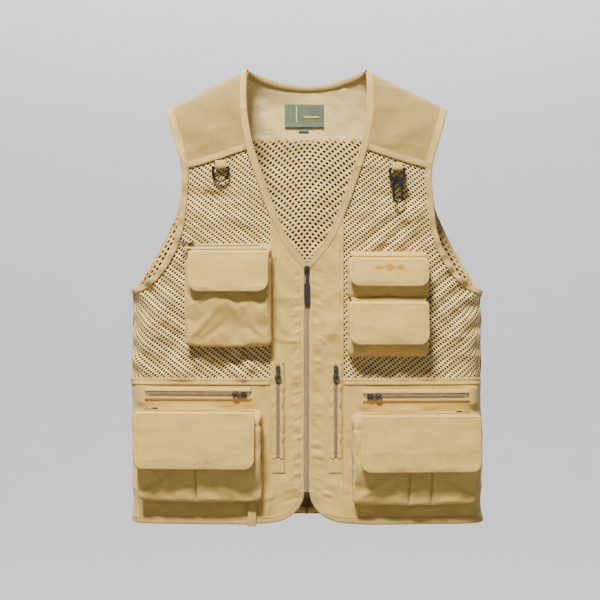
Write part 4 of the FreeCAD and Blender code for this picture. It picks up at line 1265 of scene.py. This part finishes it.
def flap_stitches(pocket, seed):
    """The stitches round a flap's edge."""
    inner = turned_inwards(flap_outline(pocket.flap_wide, pocket.flap_high, 16), STITCH_FROM_EDGE)
    uv = spaced(inner, STITCH_PITCH, closed=True)
    points = flap_shape(pocket, uv, seed, 0.2 + seam_puckers(uv, STITCH_FROM_EDGE))
    tangents = unit(np.roll(points, -1, axis=0) - np.roll(points, 1, axis=0))
    side_step = flap_shape(pocket, uv + [0, 1.0], seed, 0.12) - points
    level_step = flap_shape(pocket, uv + [1.0, 0], seed, 0.12) - points
    ups = unit(np.cross(level_step, side_step))
    hinge = pocket.hinge
    made, faces = thread_row(hinge.at(points), hinge.turn(tangents), hinge.turn(ups))
    piece = make_mesh(f"{pocket.name}_flap_stitches", made, faces, SEWING_THREAD, body=None,
                      slot="khaki_cloth")
    lift_with_flap(piece, pocket)
    return piece


def flap_root(pocket, seed):
    """The band that joins the flap to the pocket, or to the vest: it stays when the flap lifts."""
    hinge = pocket.hinge
    half = pocket.flap_wide / 2 - 4.0
    xs = np.linspace(-half, half, int(half / 2))
    if pocket.fall:
        start = (pocket.hinge_out - pocket.deep + 0.6, -pocket.fall - pocket.flap_z - 0.5)
    else:
        start = (pocket.hinge_out + 1.4, 8.0)
    rows = []
    for t in np.linspace(0, 1, 7):
        y = start[0] * (1 - t) + 2.6 * t
        z = start[1] * (1 - t) + 0.6 * t + 1.0 * math.sin(math.pi * t)
        local_y = np.full(len(xs), y)
        if not pocket.fall:
            wall = wall_local(hinge, xs, np.full(len(xs), z)) + 0.5
            local_y = wall * (1 - t) + 2.6 * t
        rows.append(stacked(xs, local_y + 0.3 * noise(stacked(xs, t * 9, 0), 12, seed), z))
    faces = grid_faces(len(rows), len(xs))
    piece = make_mesh(f"{pocket.name}_flap_root", hinge.at(np.vstack(rows)), faces, KHAKI_CLOTH,
                      slot="khaki_cloth")
    solidify(piece, 1.4, 0)
    return piece


def surface_below(pieces, place, x, z):
    """Local y of the outermost of the pieces' surfaces at local (x, z)."""
    depsgraph = bpy.context.evaluated_depsgraph_get()
    trees = [BVHTree.FromObject(piece, depsgraph) for piece in pieces]
    found = []
    for px, pz in zip(x, z):
        start = Vector(place.at(np.array([px, -60.0, pz])) * MM)
        hits = [tree.ray_cast(start, Vector(place.y), 0.1)[3] for tree in trees]
        found.append(min(h for h in hits if h is not None) / MM - 60.0)
    return np.array(found)


def closing_patches(pocket, pieces, seed):
    """Loops on the pocket's front and hooks inside its flap."""
    name = pocket.name
    points, faces = pad(34, 16, 0.9)
    for side in (-1, 1):
        word = "left" if side < 0 else "right"
        x = points[:, 0] + side * pocket.flap_wide / 4
        z = points[:, 2] - pocket.flap_high + 16.0
        y = surface_below(pieces, pocket.hinge, x, z)
        made = stacked(x, y + points[:, 1], z)
        make_mesh(f"{name}_loops_{word}", pocket.hinge.at(made), faces, CLOSING, slot="hook_and_loop",
                  replaces=["loop_patches"] if (name, side) == ("chest_left", -1) else ())
        outer = flap_shape(pocket, stacked(x, z), seed)
        inner = outer + stacked(0, 2.0 - points[:, 1], 0)
        hooks = make_mesh(f"{name}_hooks_{word}", pocket.hinge.at(inner), [f[::-1] for f in faces], CLOSING,
                          body=None, slot="hook_and_loop")
        lift_with_flap(hooks, pocket)


def pad(wide, high, thick, step=1.7):
    """A thin pad with a rough face and soft edges, facing -y."""
    xs = np.linspace(-wide / 2, wide / 2, int(wide / step))
    zs = np.linspace(-high / 2, high / 2, int(high / step))
    grid = np.stack(np.meshgrid(xs, zs), axis=2).reshape(-1, 2)
    edge = np.minimum(wide / 2 - np.abs(grid[:, 0]), high / 2 - np.abs(grid[:, 1]))
    y = -thick * smooth(edge, -0.4, 1.6) - 0.12 * noise(stacked(grid[:, 0], 0, grid[:, 1]), 1.9, 61)
    points = stacked(grid[:, 0], y, grid[:, 1])
    wide_count = len(xs)
    faces = grid_faces(len(zs), len(xs))
    rim = [r for r in range(wide_count)]
    rim += [(r + 1) * wide_count - 1 for r in range(1, len(zs))]
    rim += [len(points) - 1 - r for r in range(1, wide_count)]
    rim += [(len(zs) - 1 - r) * wide_count for r in range(1, len(zs) - 1)]
    back = points[rim] * [1, 0, 1]
    first = len(points)
    points = np.vstack([points, back])
    count = len(rim)
    faces += [(rim[k], first + k, first + (k + 1) % count, rim[(k + 1) % count]) for k in range(count)]
    faces.append(tuple(first + k for k in range(count)))
    return points, faces


def side_zip(pocket, side, top, long):
    """The short zip up a pocket's side gusset."""
    mid = -pocket.deep / 2 - 1.0
    place = Place(pocket.place.at(np.array([side * (pocket.wide / 2 - 0.2), mid, -pocket.fall - top])),
                  -side * pocket.place.y, (0, 0, 1))
    name = f"{pocket.name}_side_zip"
    zip_tape(f"{name}_tape", place, 2.6, long, SMALL_ZIP_TAPE, 0.0, half=4.2,
             node="pocket_side_zips" if pocket.name == "chest_left" else None)
    zip_teeth(f"{name}_teeth", place, 3.2, long - 2, 2.0)


# ---------------------------------------------------------------- webbing, label and motif
def ribbon(name, place, wide, line, material, thick, replaces=()):
    """Tape of a given width, bent along a line of local (y, z) points."""
    path = spaced(spline(line, 1.0), 0.9)
    xs = np.array([-1, -0.94, -0.5, 0, 0.5, 0.94, 1]) * wide / 2
    run = unit(np.gradient(path, axis=0))
    out = stacked(run[:, 1], -run[:, 0])
    dip = np.array([0.25, 0.0, 0.03, 0.0, 0.03, 0.0, 0.25])
    points = []
    for (y, z), n in zip(path, out):
        for x, d in zip(xs, dip):
            points.append((x, y + n[0] * -d, z + n[1] * -d))
    piece = make_mesh(name, place.at(np.array(points)), grid_faces(len(path), len(xs)), material,
                      slot="binding_tape", replaces=replaces)
    solidify(piece, thick, 0)
    return piece


def bar_tab(name, joint, replaces=()):
    """Webbing loop holding a ring's bar: from the seam, down round the bar and back up."""
    pin = np.array(joints[joint]["pos_m"]) / MM
    place = Place(pin, -np.array(joints[joint]["axis"]), (0, 0, 1))
    line = [(1.2, 9.5), (-1.6, 8.2), (-3.0, 3.0), (-2.9, -1.2), (-0.2, -3.3), (2.2, -1.0), (2.7, 4.0),
            (2.9, 9.0)]
    ribbon(name, place, 16.4, line, BINDING_TAPE, 1.0, replaces)
    rows = []
    for z, y in ((6.8, -2.75), (1.0, -3.6)):
        x = np.arange(-6.6, 6.7, STITCH_PITCH)
        rows.append(stacked(x, y, z))
    places = place.at(np.vstack(rows))
    count = len(places)
    made, faces = thread_row(places, np.tile(place.x, (count, 1)), np.tile(-place.y, (count, 1)))
    make_mesh(f"{name}_stitches", made, faces, SEWING_THREAD, slot="khaki_cloth")


def label():
    """Woven neck label with a size tab below it. A pale line and a bar stand for its words."""
    # name, middle and top, size, material, offset from the back's form, thickness
    flats = [("neck_label_cloth", (-4.0, -43.0), (64.0, 38.0), LABEL_WEAVE, -4.5, 1.0),
             ("size_tab", (-5.0, -80.0), (16.0, 9.0), LABEL_WEAVE, -4.1, 0.8),
             ("label_line", (-16.5, -47.0), (2.0, 29.0), LABEL_PRINT, -4.35, 0.35),
             ("label_bar", (8.0, -62.5), (26.0, 3.4), LABEL_BAR, -4.35, 0.35)]
    for name, (x, top), (wide, high), material, offset, thick in flats:
        xs = np.linspace(x - wide / 2, x + wide / 2, max(3, int(wide / 2.2)))
        zs = np.linspace(top, top - high, max(3, int(high / 2.2)))
        grid = np.stack(np.meshgrid(xs, zs), axis=2)
        uv = to_pattern(grid.reshape(-1, 2))
        curls = high > 12 and wide > 12
        curl = 0.9 * np.exp(-((grid[..., 1].ravel() - (top - high)) / 5.0) ** 2) if curls else 0
        points, _ = cloth_points(uv, BACK, offset - curl)
        piece = make_mesh(name, points, grid_faces(len(zs), len(xs)), material, slot="label_weave",
                          replaces=["neck_label"] if name == "neck_label_cloth" else ())
        solidify(piece, thick, 1 if name == "neck_label_cloth" else 0)


def strap_end():
    """The loose end of a strap that shows below the lower left pocket."""
    low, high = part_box("strap_end")
    middle = (low + high) / 2 / MM
    place = Place((middle.x, middle.y, high.z / MM), (1, 0, 0), (0, 0, 1))
    long = (high.z - low.z) / MM
    line = [(0.4, 0), (-0.3, -long * 0.3), (-0.9, -long * 0.65), (-0.2, -long + 0.6)]
    ribbon("strap_end_webbing", place, 12.0, line, BINDING_TAPE, 1.5, ["strap_end"])


def motif():
    """Three small stitched lozenges on the upper right flap, in place of the photo's embroidery."""
    pocket = POCKETS["chest_right_upper"]
    places = []
    for middle, wide, high in ((-17.0, 7.0, 4.6), (0.0, 9.5, 6.6), (17.0, 7.0, 4.6)):
        for row, z in enumerate(np.arange(-high, high, 0.75)):
            half = wide * (1 - abs(z) / high)
            for x in np.arange(-half, half, STITCH_LONG * 0.9) + (row % 2) * 0.8:
                places.append((middle + x, -16.0 + z))
    uv = np.array(places)
    points = flap_shape(pocket, uv, FLAP_SEEDS["chest_right_upper"], 0.15)
    made, faces = thread_row(pocket.hinge.at(points), np.tile(pocket.hinge.x, (len(uv), 1)),
                             np.tile(-pocket.hinge.y, (len(uv), 1)))
    piece = make_mesh("flap_motif", made, faces, MOTIF_THREAD, body=None, slot="khaki_cloth")
    lift_with_flap(piece, pocket)


# ---------------------------------------------------------------- the vest's cloth, one panel at a time
def front_outlines(side):
    """Outlines of a front's four panels, in (x, z)."""
    yoke_low = YOKE_LINE
    neck_top = above(NECK_LINE, YOKE_LINE[0, 1])
    arm_top = above(FRONT_ARM_LINE, YOKE_LINE[-1, 1])
    yoke = joined(neck_top, yoke_low, arm_top[::-1], shoulder_line(SHOULDER_END, NECK_HALF))
    seam_top = float(np.interp(-PLACKET, -NECK_LINE[:, 0], NECK_LINE[:, 1]))
    neck_low = below(NECK_LINE, seam_top)
    hem_in = CORNER_LINE[CORNER_LINE[:, 0] <= PLACKET]
    hem_seam = float(np.interp(PLACKET, CORNER_LINE[:, 0], CORNER_LINE[:, 1]))
    placket = joined([(PLACKET, seam_top)], neck_low, straight(neck_low[-1], hem_in[0]), hem_in,
                     straight((PLACKET, hem_seam), (PLACKET, seam_top)))
    neck_mid = NECK_LINE[(NECK_LINE[:, 1] < YOKE_LINE[0, 1]) & (NECK_LINE[:, 0] > PLACKET)]
    arm_low = below(FRONT_ARM_LINE, YOKE_LINE[-1, 1])
    under = 6.0
    net_outline = joined(YOKE_LINE + [0, under], arm_low,
                         straight((HALF_WIDTH, UNDERARM), (HALF_WIDTH, WAIST - under)),
                         straight((HALF_WIDTH, WAIST - under), (PLACKET - under, WAIST - under)),
                         straight((PLACKET - under, WAIST - under), (PLACKET - under, seam_top)),
                         neck_mid[::-1])
    hem_out = CORNER_LINE[CORNER_LINE[:, 0] > PLACKET]
    skirt = joined(straight((PLACKET, WAIST_TOP), (PLACKET, hem_seam)), hem_out,
                   straight((92, HEM), (HALF_WIDTH, HEM)),
                   straight((HALF_WIDTH, HEM), (HALF_WIDTH, WAIST_TOP)),
                   straight((HALF_WIDTH, WAIST_TOP), (PLACKET, WAIST_TOP)))
    return {name: mirrored(line, side) for name, line in
            (("yoke", yoke), ("placket", placket), ("mesh", net_outline), ("skirt", skirt))}


WAIST_TOP = WAIST + 10.0


def back_outlines():
    """(x, z) outlines of the back's yoke, panel, neck facing and net lining."""
    neck = back_neck_line()[::-1]
    arm = BACK_ARM_LINE
    yoke_side = above(arm, BACK_YOKE)
    edge = at_height(arm, BACK_YOKE)
    right = np.vstack([shoulder_line(NECK_HALF, SHOULDER_END), yoke_side[1:], [(edge, BACK_YOKE)]])
    yoke = joined(neck, mirrored(right, -1), straight((-edge, BACK_YOKE), (edge, BACK_YOKE)), right[::-1])
    arm_low = np.vstack([[(edge, BACK_YOKE)], below(arm, BACK_YOKE - 1)])
    right_low = np.vstack([arm_low, straight((HALF_WIDTH, UNDERARM), (HALF_WIDTH, HEM))])
    panel = joined(right_low, straight((HALF_WIDTH, HEM), (-HALF_WIDTH, HEM)), mirrored(right_low, -1)[::-1],
                   straight((-edge, BACK_YOKE), (edge, BACK_YOKE)))
    facing_edge = at_height(arm, FACING)
    facing_right = np.vstack([shoulder_line(NECK_HALF, SHOULDER_END), above(arm, FACING)[1:],
                              [(facing_edge, FACING)]])
    facing = joined(neck, mirrored(facing_right, -1), straight((-facing_edge, FACING), (facing_edge, FACING)),
                    facing_right[::-1])
    lining_top = FACING + 6.0
    lining_edge = at_height(arm, lining_top)
    lining_right = np.vstack([[(lining_edge, lining_top)], below(arm, lining_top - 1),
                              straight((HALF_WIDTH, UNDERARM), (HALF_WIDTH, WAIST))]) * [0.993, 1]
    lining = joined(lining_right, straight((HALF_WIDTH, WAIST), (-HALF_WIDTH, WAIST)) * [0.993, 1],
                    mirrored(lining_right, -1)[::-1],
                    straight((-lining_edge, lining_top), (lining_edge, lining_top)))
    return {"yoke": yoke, "panel": panel, "facing": facing, "lining": lining}


TAPE_PROFILE = [(0.0, 0.1), (0.0, 0.9), (0.6, 1.25), (5.0, 1.05), (9.4, 1.25), (10.0, 0.9), (10.0, 0.1)]
BAND_PROFILE = [(0.0, 0.2), (0.0, 1.2), (0.9, 1.9), (2.2, 1.3), (5.5, 1.0), (8.6, 1.2), (9.6, 0.8),
                (9.6, 0.2)]


def binding_profile(inner):
    """Section of an edge binding: (into the cloth, outwards). inner is how deep its inside lies."""
    outside = [(9.0, 0.15), (9.0, 0.75), (8.4, 1.15), (7.0, 0.85), (4.0, 1.1), (1.0, 1.35), (-0.7, 0.9)]
    inside = [(-1.3, -0.6), (-1.2, inner * 0.7), (-0.2, inner), (4.0, inner - 0.2), (9.0, inner + 0.4)]
    return outside + inside + [(9.0, inner + 0.9), (0.4, inner + 1.2), (-0.2, -0.6), (0.4, -0.2)]


def neck_path():
    """The whole neckline in pattern coordinates, from the right front over the back to the left front."""
    front = to_pattern(NECK_LINE[::-1])
    back = to_pattern(back_neck_line()[::-1]) * [1, -1]
    return spaced(np.vstack([front[:-1], back[1:-1], (front[::-1] * [-1, 1])[1:]]), 2.6)


def arm_path(side):
    """An armhole in pattern coordinates: down the front, round the side seam and up the back."""
    front = to_pattern(FRONT_ARM_LINE)
    back = to_pattern(BACK_ARM_LINE)[::-1]
    back[:, 0] = 2 * U_SIDE - back[:, 0]
    return spaced(np.vstack([front, back[1:]]), 2.6) * [side, 1]


def hem_path(side):
    """Half of the hem: from the front edge's foot round the corner and the side seam to the back's middle."""
    front = to_pattern(CORNER_LINE)
    v = front[-1, 1]
    x = np.linspace(100, HALF_WIDTH, 60)
    flat = to_pattern(stacked(x, HEM))
    back = flat[::-1][1:].copy()
    back[:, 0] = 2 * U_SIDE - back[:, 0]
    last = np.array([[2 * U_SIDE, v + to_pattern([(0, HEM)])[0, 1] - to_pattern([(92, HEM)])[0, 1]]])
    return spaced(np.vstack([front, flat, back, last]), 2.6) * [side, 1]


def inward(path, amount):
    """A line moved to its left by amount."""
    return path + left_of(path) * amount


def build_shell():
    """Panels, net, bindings, tapes and their stitching."""
    for side, word in ((LEFT, "left"), (RIGHT, "right")):
        lines = front_outlines(side)
        for part, node, material, step in (("yoke", "front_yoke", PAINTED_SHADE_YOKE_CLOTH, 4.0),
                                           ("placket", "placket", KHAKI_CLOTH, 1.9),
                                           ("skirt", "front_skirt", KHAKI_CLOTH, 3.4)):
            cloth_panel(f"{word}_{part}_cloth", lines[part], FRONT, f"{word}_{node}", material, step=step)
        net(f"{word}_net", lines["mesh"], FRONT, f"{word}_front_mesh", NET_THREAD, -1.5, 6.9, 4.36, 0.55, 0.6)
        # A lining sheet close behind each front net, coloured dark brown: painted shade seen through the
        # net's holes.
        cloth_panel(f"{word}_lining_cloth", lines["mesh"], FRONT, None, SHADE_LINING_CLOTH, offset=-6.0, thick=0.6,
                    step=7.0, relief=False)
    back = back_outlines()
    # The back's inside takes the dark lining colour: painted shade seen through the back lining net's holes.
    for part, step in (("yoke", 5.0), ("panel", 6.0)):
        cloth_panel(f"back_{part}_cloth", back[part], BACK, f"back_{part}", BACK_CLOTH, step=step,
                    inner=SHADE_LINING_CLOTH)
    # The facing's colour includes painted light that offsets the shade inside the neck.
    cloth_panel("neck_facing_cloth", back["facing"], BACK, "neck_facing", PAINTED_LIGHT_FACING_CLOTH, "facing_cloth",
                offset=-2.5, thick=0.8, step=5.0, relief=False)
    net("back_lining_net", back["lining"], BACK, "back_mesh_lining", LINING_THREAD, -3.4, 9.2, 5.8, 0.4, 0.57)
    build_bindings()
    build_seams()


def build_bindings():
    inner = binding_profile(-2.6)
    neck = [(-across, out) for across, out in binding_profile(-4.4)]
    strip("neck_binding_tape", [neck_path()], neck, FRONT, BINDING_TAPE, slot="binding_tape",
          replaces=["neck_binding"], relief=0.12)
    for side, word in ((LEFT, "left"), (RIGHT, "right")):
        arm = [(across * side, out) for across, out in inner]
        strip(f"{word}_armhole_binding", [arm_path(side)], arm, FRONT, BINDING_TAPE, slot="binding_tape",
              replaces=["armhole_bindings"] if side == LEFT else (), relief=0.12)
        hem = [(-across * side, out) for across, out in inner]
        strip(f"{word}_hem_binding", [hem_path(side)], hem, FRONT, BINDING_TAPE, slot="binding_tape",
              replaces=["hem_binding"] if side == LEFT else (), relief=0.12)


def build_seams():
    """Yoke tapes, the waist band over the net's lower edge, and the lines of stitches."""
    tapes, bands, front_lines, back_lines = [], [], [], []
    for side in (LEFT, RIGHT):
        yoke = to_pattern(mirrored(YOKE_LINE, side))
        tapes.append(yoke if side == RIGHT else yoke[::-1])
        waist = to_pattern(mirrored(straight((PLACKET + 1, WAIST), (HALF_WIDTH - 1, WAIST)), side))
        bands.append(waist if side == RIGHT else waist[::-1])
    upwards = [(-across, out) for across, out in TAPE_PROFILE]
    strip("yoke_seam_tape", tapes, upwards, FRONT, SEAM_TAPE, slot="binding_tape",
          replaces=["yoke_seam_tapes"])
    strip("waist_band", bands, [(-across, out) for across, out in BAND_PROFILE], FRONT, KHAKI_CLOTH,
          slot="khaki_cloth")
    neck = neck_path()
    front_lines.append(inward(neck, -7.2))
    for side in (LEFT, RIGHT):
        front_lines.append(inward(arm_path(side), 7.2 * side))
        front_lines.append(inward(hem_path(side), -7.2 * side))
    sewn_lines("binding_stitches", front_lines, FRONT, 1.0)
    seams = []
    for side in (LEFT, RIGHT):
        yoke = to_pattern(mirrored(YOKE_LINE, side))
        for up in (1.4, 8.4):
            seams.append(yoke - [0, up])
    sewn_lines("yoke_tape_stitches", seams, FRONT, 1.2)
    seams = []
    for side in (LEFT, RIGHT):
        for z in (WAIST + 1.8, WAIST + 8.0):
            seams.append(to_pattern(mirrored(straight((PLACKET + 2, z), (HALF_WIDTH, z)), side)))
    sewn_lines("waist_band_stitches", seams, FRONT, 1.3)
    seams = []
    for side in (LEFT, RIGHT):
        for x, top, bottom in ((PLACKET - STITCH_FROM_EDGE, -250, -696),
                               (FRONT_EDGE + STITCH_FROM_EDGE, -318, -655)):
            seams.append(to_pattern(mirrored(straight((x, top), (x, bottom)), side)))
        seams.append(to_pattern(mirrored(straight((PLACKET + 1.6, WAIST - 8), (PLACKET + 1.6, -700)), side)))
    sewn_lines("placket_stitches", seams, FRONT, 0.2)
    for z in (BACK_YOKE + 6, BACK_YOKE - 6):
        edge = at_height(BACK_ARM_LINE, z) - 9
        back_lines.append(to_pattern(straight((-edge, z), (edge, z))))
    sewn_lines("back_yoke_stitches", back_lines, BACK, 0.2)


def build_windows():
    """The folded lips of cloth beside each straight zip, and the patch below each upright one."""
    for name in ("left_waist", "right_waist"):
        for edge, word in ((-1, "lower"), (1, "upper")):
            lip(f"{name}_lip_{word}", name, edge)
    points, faces = pad(*END_PATCH, 1.1)
    for name in ("left_upright", "right_upright"):
        for edge, word in ((-1, "left"), (1, "right")):
            lip(f"{name}_lip_{word}", name, edge, 2.7, 0.0, 0.75)
        below_zip = points + [0, 0.2, -ZIPS[name][1] - 5.0 - END_PATCH[1] / 2]
        make_mesh(f"{name}_end_patch", ZIP_PLACES[name].at(below_zip), faces, KHAKI_CLOTH, slot="khaki_cloth")


def lip(name, zip_name, edge, start=4.1, proud=0.3, gather=0.25):
    """A folded edge of cloth beside a zip. start is how far from the zip's middle it begins."""
    zs = np.arange(6.0, -ZIPS[zip_name][1] - 6.1, -2.0)
    section = [(start, -0.9), (start, -1.5 - proud), (start + 0.7, -1.9 - proud), (7.4, -1.4 - proud * 0.3),
               (10.4, -0.1), (10.0, 0.6), (start + 0.5, 0.0)]
    rows = []
    for z in zs:
        wobble = gather * float(noise(np.array([[z, edge * 50.0, 0]]), 7.0, 51)[0])
        for x, y in section:
            rows.append((edge * (x + 0.4 * wobble), y - wobble * (y < -1), z))
    faces = tube_faces(len(zs), len(section))
    points = ZIP_PLACES[zip_name].at(np.array(rows))
    outwards(make_mesh(name, points, faces, KHAKI_CLOTH, slot="khaki_cloth"))


FLAP_SEEDS = {name: 70 + 5 * k for k, name in enumerate(POCKETS)}


def build_pockets():
    pleats = {
        "chest_left": [],
        "lower_left": [(-3.0, 3.0)],
        "lower_right": [(-8.0, 2.4), (27.0, 2.6)],
    }
    for name, pocket in POCKETS.items():
        seed = FLAP_SEEDS[name]
        under_flap = [pocket_bag(pocket, seed)]
        if pocket.patch:
            under_flap.append(patch_pouch(pocket, seed + 1, pleats[name]))
            side_zip(pocket, RIGHT if name != "lower_right" else LEFT, 6 if name == "chest_left" else 8,
                     100 if name == "chest_left" else 95)
        closing_patches(pocket, under_flap, seed)
        flap_root(pocket, seed)
        flap_piece(pocket, seed)
    motif()


# ---------------------------------------------------------------- hardware kept from the CAD model
def finish_node(name, material, width, segments=2):
    """Gives a CAD node its material and soft edges."""
    node = frame["nodes"][name]
    node.data.materials.clear()
    node.data.materials.append(material)
    bevel = node.modifiers.new("edges", "BEVEL")
    bevel.width = width * MM
    bevel.segments = segments
    bevel.limit_method = "ANGLE"
    bevel.angle_limit = math.radians(35)
    bevel.harden_normals = False
    node.data.polygons.foreach_set("use_smooth", [True] * len(node.data.polygons))
    bevel.use_clamp_overlap = True


def build_hardware():
    for name in ZIPS:
        if name == "main":
            finish_node("main_zip_slider", BLACK_PLASTIC, 0.5)
            finish_node("main_zip_pull", BLACK_PLASTIC, 0.7, 3)
        else:
            finish_node(f"{name}_zip_slider", ANTIQUE, 0.5)
            finish_node(f"{name}_zip_pull", ANTIQUE, 0.3)
    finish_node("main_zip_stops", BLACK_PLASTIC, 0.3)
    finish_node("d_ring", GUNMETAL, 0.15)
    finish_node("hook_base", GUNMETAL, 0.3)
    finish_node("snap_hook", GUNMETAL, 0.2)
    finish_node("hook_gate", GUNMETAL, 0.2)


# ---------------------------------------------------------------- studio
def area_light(name, place, aim, size, power, colour=(1, 1, 1)):
    """A soft rectangular light turned to its aim. Places and sizes are in metres."""
    light = bpy.data.lights.new(name, "AREA")
    light.shape = "RECTANGLE"
    light.size, light.size_y = size
    light.energy = power
    light.color = colour
    made = bpy.data.objects.new(name, light)
    made.location = place
    made.rotation_euler = (Vector(aim) - Vector(place)).to_track_quat("-Z", "Y").to_euler()
    bpy.context.scene.collection.objects.link(made)


# Metres: the floor's height, the room's radius and the radius of its corner.
FLOOR, ROOM, CORNER = -2.3, 4.6, 1.0
SKY = (0.35, 0.75, 1.7)
CAMERA_AT, LENS_MM, SENSOR_MM = (-0.01085, -2.460, -0.3607), 92.9, 36


def studio():
    """Round pale room whose floor curves into its wall, lit softly from above."""
    profile = [(0.0, FLOOR), (1.5, FLOOR), (ROOM - CORNER, FLOOR)]
    for turn in np.radians(np.arange(9, 91, 9)):
        profile.append((ROOM - CORNER + CORNER * math.sin(turn), FLOOR + CORNER - CORNER * math.cos(turn)))
    profile.append((ROOM, 3.6))
    around = 72
    angles = np.linspace(0, 2 * np.pi, around, endpoint=False)
    points = [(r * math.cos(a), r * math.sin(a), z) for r, z in profile[1:] for a in angles]
    faces = tube_faces(len(profile) - 1, around)[:-1]
    paper = plain("backdrop_paper", linear(128, 128, 128), 0.9)
    room = make_mesh("backdrop", np.array(points) / MM, faces, paper, body=None)
    world = bpy.data.worlds.new("studio")
    world.use_nodes = True
    world.node_tree.nodes["Background"].inputs["Color"].default_value = (*SKY, 1)
    world.node_tree.nodes["Background"].inputs["Strength"].default_value = 0.03
    bpy.context.scene.world = world
    vest_middle, wall_behind = (0, 0, -0.4), (0, ROOM, -0.9)
    area_light("key", (-0.7, -2.3, 3.1), vest_middle, (1.0, 0.5), 530)
    area_light("fill", (1.0, -3.2, 0.1), vest_middle, (1.8, 1.8), 5, SKY)
    area_light("back_key", (-0.9, 0.9, 2.0), vest_middle, (0.7, 0.5), 42)
    area_light("backdrop_light", (0, 3.0, 3.2), wall_behind, (4.5, 0.6), 940)
    area_light("backdrop_low", (0, 3.0, -2.15), wall_behind, (4.5, 0.4), 130)
    camera = bpy.data.cameras.new("camera")
    camera.sensor_width = SENSOR_MM
    camera.lens = LENS_MM
    camera.clip_end = 50
    made = bpy.data.objects.new("camera", camera)
    made.location = CAMERA_AT
    made.rotation_euler = (math.radians(90), 0, 0)
    bpy.context.scene.collection.objects.link(made)
    bpy.context.scene.camera = made


# ---------------------------------------------------------------- the whole vest
for still in ("d_ring", "hook_base", "left_upright_zip", "right_upright_zip", "left_waist_zip",
              "right_waist_zip", "strap_end"):
    still_at(still)
build_shell()
for zip_name in ZIPS:
    full_zip(zip_name)
build_windows()
build_pockets()
bar_tab("d_ring_tab", "d_ring_swing", ["ring_tabs"])
bar_tab("hook_tab", "hook_base_swing")
label()
strap_end()
build_hardware()
studio()
